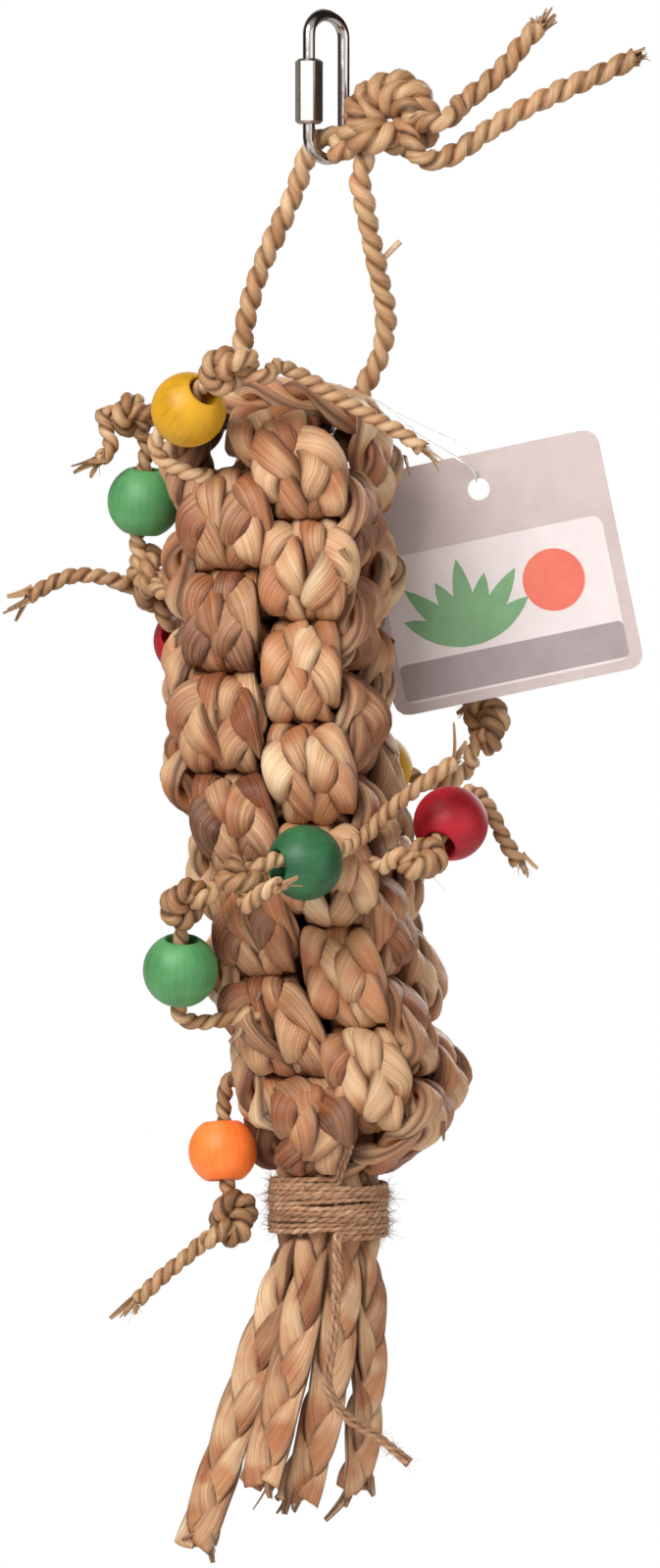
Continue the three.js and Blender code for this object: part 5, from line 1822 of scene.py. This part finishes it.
# Print, by place in CARDS: size, corner radius and place of the panel and the band, the sun's radius,
# place and points, and the leaves' root, number, first and next way, length, longer ones and width
PANEL, BAND, GREEN, CORAL = 2, 3, 4, 5
PANEL_SHAPE = ((62, 40, 3), (0, -10.2))
BAND_SHAPE = ((62, 10, 1.5), (0, -24.5))
SUN_RADIUS = 8.5
SUN_PLACE = (15, -5)
SUN_POINTS = 40
LEAF_ROOT = (-10, -18)
LEAVES = 7
LEAF_FIRST = math.radians(150)
LEAF_NEXT = math.radians(-20)
LEAF_LENGTH = 20
LEAF_LONGER = 4
LEAF_WIDTH = 5.5
PRINT_LIFT = 0.02
PRINT_STEP = 0.01

# The clear loop: its thread, and its points from the hole (right, back, up) and from the column's top
LOOP_RADIUS = 0.4
LOOP_AROUND = 8
LOOP_SAMPLES = 12
LOOP_BY_CARD = (
    (-0.4, -2.7, 3.2), (0, -1.5, 0.5), (0, 0, 0), (0, 1.4, 0.5), (-0.3, 1.8, 4), (-1.5, 1.6, 9.5),
    (-6, 0, 13.5),
)
LOOP_BY_ROPE = (
    (21, 17.5, -0.5), (13, 14.6, 4), (5.4, 12.4, 5.8), (6, 6.4, 5.5), (13, 6.8, 3.5), (25, 13.5, -5.5),
)


class TOY_OT_tag(bpy.types.Operator):
    """Cuts the card tag, prints a plain leaf and sun design on it, and threads its loop."""

    bl_idname = "bird_toy.tag"
    bl_label = "Card tag"

    def execute(self, context):
        """Front, back, cut edge and hole as strips between outlines, then the print just over the front."""
        axes = self.axes()

        def placed(outline, depth):
            """From the card's right and up, and a depth behind it, to the toy."""
            return np.insert(outline, 1, depth, axis=1) @ axes + TAG_CENTRE

        mesh = Mesh()
        outer = even_loop(rounded(*TAG_SIZE, TAG_CORNER, TAG_CORNER_POINTS), TAG_POINTS)
        angle = np.arctan2(outer[:, 1] - TAG_HOLE_HEIGHT, outer[:, 0])
        hole = TAG_HOLE / 2 * on_circle(angle) + (0, TAG_HOLE_HEIGHT)
        half = TAG_THICKNESS / 2
        strips = (
            (hole, -half, outer, -half, TAG_MARGIN, 0),
            (outer, half, hole, half, TAG_MARGIN, 0),
            (outer, -half, outer, half, TAG_THICKNESS, RAW_EDGE),
            (hole, half, hole, -half, TAG_THICKNESS, RAW_EDGE),
        )
        for near, near_depth, far, far_depth, span, slot in strips:
            rings = np.array([placed(near, near_depth), placed(far, far_depth)])
            mesh.grid(rings, np.array([0, span]), caps=False, slot=slot)
        for layer, (slot, outline) in enumerate(self.print_shapes()):
            mesh.flat(placed(outline, -half - PRINT_LIFT - PRINT_STEP * layer), slot)
        made = mesh.build("hang_tag_card", *[row[0] for row in CARDS], smooth=False)
        finished(made, "tag", "printed_card", "hang_tag")
        self.loop(axes)
        return {"FINISHED"}

    def axes(self):
        """The card's right, back and up directions, as rows: tilted in its plane, then yawed."""
        c, s = math.cos(TAG_TILT), math.sin(TAG_TILT)
        return turn_z([(c, 0, s), (0, 1, 0), (-s, 0, c)], TAG_YAW)

    def print_shapes(self):
        """Flat printed shapes, lowest first: a panel, a band, a sun disc and a fan of leaves."""
        shapes = [
            (slot, rounded(*shape) + place)
            for slot, (shape, place) in ((PANEL, PANEL_SHAPE), (BAND, BAND_SHAPE))
        ]
        shapes.append((CORAL, SUN_RADIUS * on_circle(angles(SUN_POINTS)) + SUN_PLACE))
        for number in range(LEAVES):
            way = on_circle(LEAF_FIRST + LEAF_NEXT * number)
            length = LEAF_LENGTH + LEAF_LONGER * (number % 2)
            shapes.append((GREEN, leaf_outline(LEAF_ROOT, way, length, LEAF_WIDTH)))
        return shapes

    def loop(self, axes):
        """The clear thread: through the hole, up behind the card and round the rope's right leg."""
        lift = TAG_HOLE / 2 - TOUCH_GAP - LOOP_RADIUS
        hole = TAG_CENTRE + axes[2] * (TAG_HOLE_HEIGHT + lift)
        points = np.vstack([hole + np.array(LOOP_BY_CARD) @ axes, [beside(p) for p in LOOP_BY_ROPE]])
        wrapped = np.vstack([points[-2:], points, points[:3]])
        line, place = catmull(wrapped, [LOOP_SAMPLES] * (len(wrapped) - 1))
        line = line[(place >= 2) & (place < 2 + len(points))]
        mesh = Mesh()
        mesh.grid(tube(line, LOOP_RADIUS, LOOP_AROUND), lengths(line), loop=True)
        made = mesh.build("tag_loop_thread", "Clear plastic thread")
        finished(made, "toy", "clear_filament", "tag_loop")


# Stage: the floor below the toy in millimetres, and lamps in metres as name, place, aim and size
FLOOR = -475.0
FLOOR_SIDE = 700.0
FLOOR_BACK = 500.0
LAMPS = (
    ("Key", (-0.55, -0.9, 0.45), (0, 0, -0.2), 0.7),
    ("Fill", (0.9, -0.8, -0.1), (0, 0, -0.22), 0.9),
    ("Back", (0.6, 1.2, 0.35), (0, 0, -0.22), 1.0),
)

# What shiny pieces see of the room, from the camera's side to behind the toy
STUDIO_STOPS = (
    (0.0, "#ffffff"), (0.2, "#d9d6d2"), (0.38, "#3a332e"), (0.62, "#221d1a"), (0.8, "#8a827b"),
    (1.0, "#f4f2f0"),
)


class TOY_OT_stage(bpy.types.Operator):
    """Lights the toy softly from the front on a white ground."""

    bl_idname = "bird_toy.stage"
    bl_label = "Stage"

    def execute(self, context):
        """Three soft lamps, a pale floor and a white room."""
        for name, place, aim, size in LAMPS:
            self.lamp(name, place, aim, size, getattr(settings(), name.lower() + "_power"))
        self.floor()
        self.room(context.scene)
        context.scene.view_settings.view_transform = "Standard"
        return {"FINISHED"}

    def lamp(self, name, place, aim, size, power):
        """A square area light aimed at a point."""
        data = bpy.data.lights.new(name, "AREA")
        data.size = size
        data.energy = power
        made = bpy.data.objects.new(name, data)
        bpy.context.scene.collection.objects.link(made)
        made.location = place
        made.rotation_euler = (Vector(aim) - Vector(place)).to_track_quat("-Z", "Y").to_euler()

    def floor(self):
        """A pale floor below the hanging toy, kept under the camera's view."""
        mesh = Mesh()
        near = [(-FLOOR_SIDE, -FLOOR_SIDE, FLOOR), (FLOOR_SIDE, -FLOOR_SIDE, FLOOR)]
        far = [(FLOOR_SIDE, FLOOR_BACK, FLOOR), (-FLOOR_SIDE, FLOOR_BACK, FLOOR)]
        mesh.flat(np.array(near + far))
        mesh.build("floor", "Pale floor")

    def room(self, scene):
        """White to the camera, a soft studio to shiny pieces, and an even light to the rest."""
        world = bpy.data.worlds.new("White room")
        world.use_nodes = True
        tree = world.node_tree
        tree.nodes.clear()
        rays = node(tree, "LightPath").outputs
        room = node(tree, "Background", {"Color": linear("#fbfaf8"), "Strength": settings().world_strength})
        white = node(tree, "Background", {"Color": (1, 1, 1, 1), "Strength": 1.0})
        facing = node(tree, "SeparateXYZ", {0: node(tree, "TexCoord").outputs["Generated"]})
        half = node(tree, "Math", {0: facing.outputs[1], 1: 0.5}, operation="MULTIPLY")
        depth = node(tree, "Math", {0: half, 1: 0.5}, operation="ADD")
        stops = [(place, linear(code)) for place, code in STUDIO_STOPS]
        colour = node(tree, "ValToRGB", {0: depth}, stops)
        studio = node(tree, "Background", {"Color": colour, "Strength": 1.0})
        shine = node(tree, "MixShader", {0: rays["Is Glossy Ray"], 1: room, 2: studio})
        seen = node(tree, "Math", {0: rays["Is Camera Ray"], 1: rays["Is Transmission Ray"]},
                    operation="MAXIMUM")
        pick = node(tree, "MixShader", {0: seen, 1: shine, 2: white})
        node(tree, "OutputWorld", {0: pick})
        scene.world = world


class TOY_PT_panel(bpy.types.Panel):
    """Sizes, colours and build steps."""

    bl_idname = "TOY_PT_panel"
    bl_label = "Bird toy"
    bl_space_type = "VIEW_3D"
    bl_region_type = "UI"
    bl_category = "Bird toy"

    def draw(self, context):
        """Every setting, then every step."""
        for name in ToySettings.__annotations__:
            self.layout.prop(context.scene.bird_toy, name)
        for step in STEPS:
            self.layout.operator(step.bl_idname)


STEPS = (
    TOY_OT_camera, TOY_OT_cords, TOY_OT_rope, TOY_OT_fibres, TOY_OT_braids, TOY_OT_tails, TOY_OT_twine,
    TOY_OT_beads, TOY_OT_link, TOY_OT_tag, TOY_OT_stage,
)


def register():
    """Adds the classes and the settings to Blender."""
    for kind in (ToySettings, *STEPS, TOY_PT_panel):
        bpy.utils.register_class(kind)
    bpy.types.Scene.bird_toy = bpy.props.PointerProperty(type=ToySettings)


def unregister():
    """Takes the settings and the classes out again."""
    del bpy.types.Scene.bird_toy
    for kind in (TOY_PT_panel, *reversed(STEPS), ToySettings):
        bpy.utils.unregister_class(kind)


def main():
    """Builds everything in order."""
    register()
    for step in STEPS:
        area, name = step.bl_idname.split(".")
        getattr(getattr(bpy.ops, area), name)()
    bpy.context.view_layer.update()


if __name__ == "__main__":
    main()
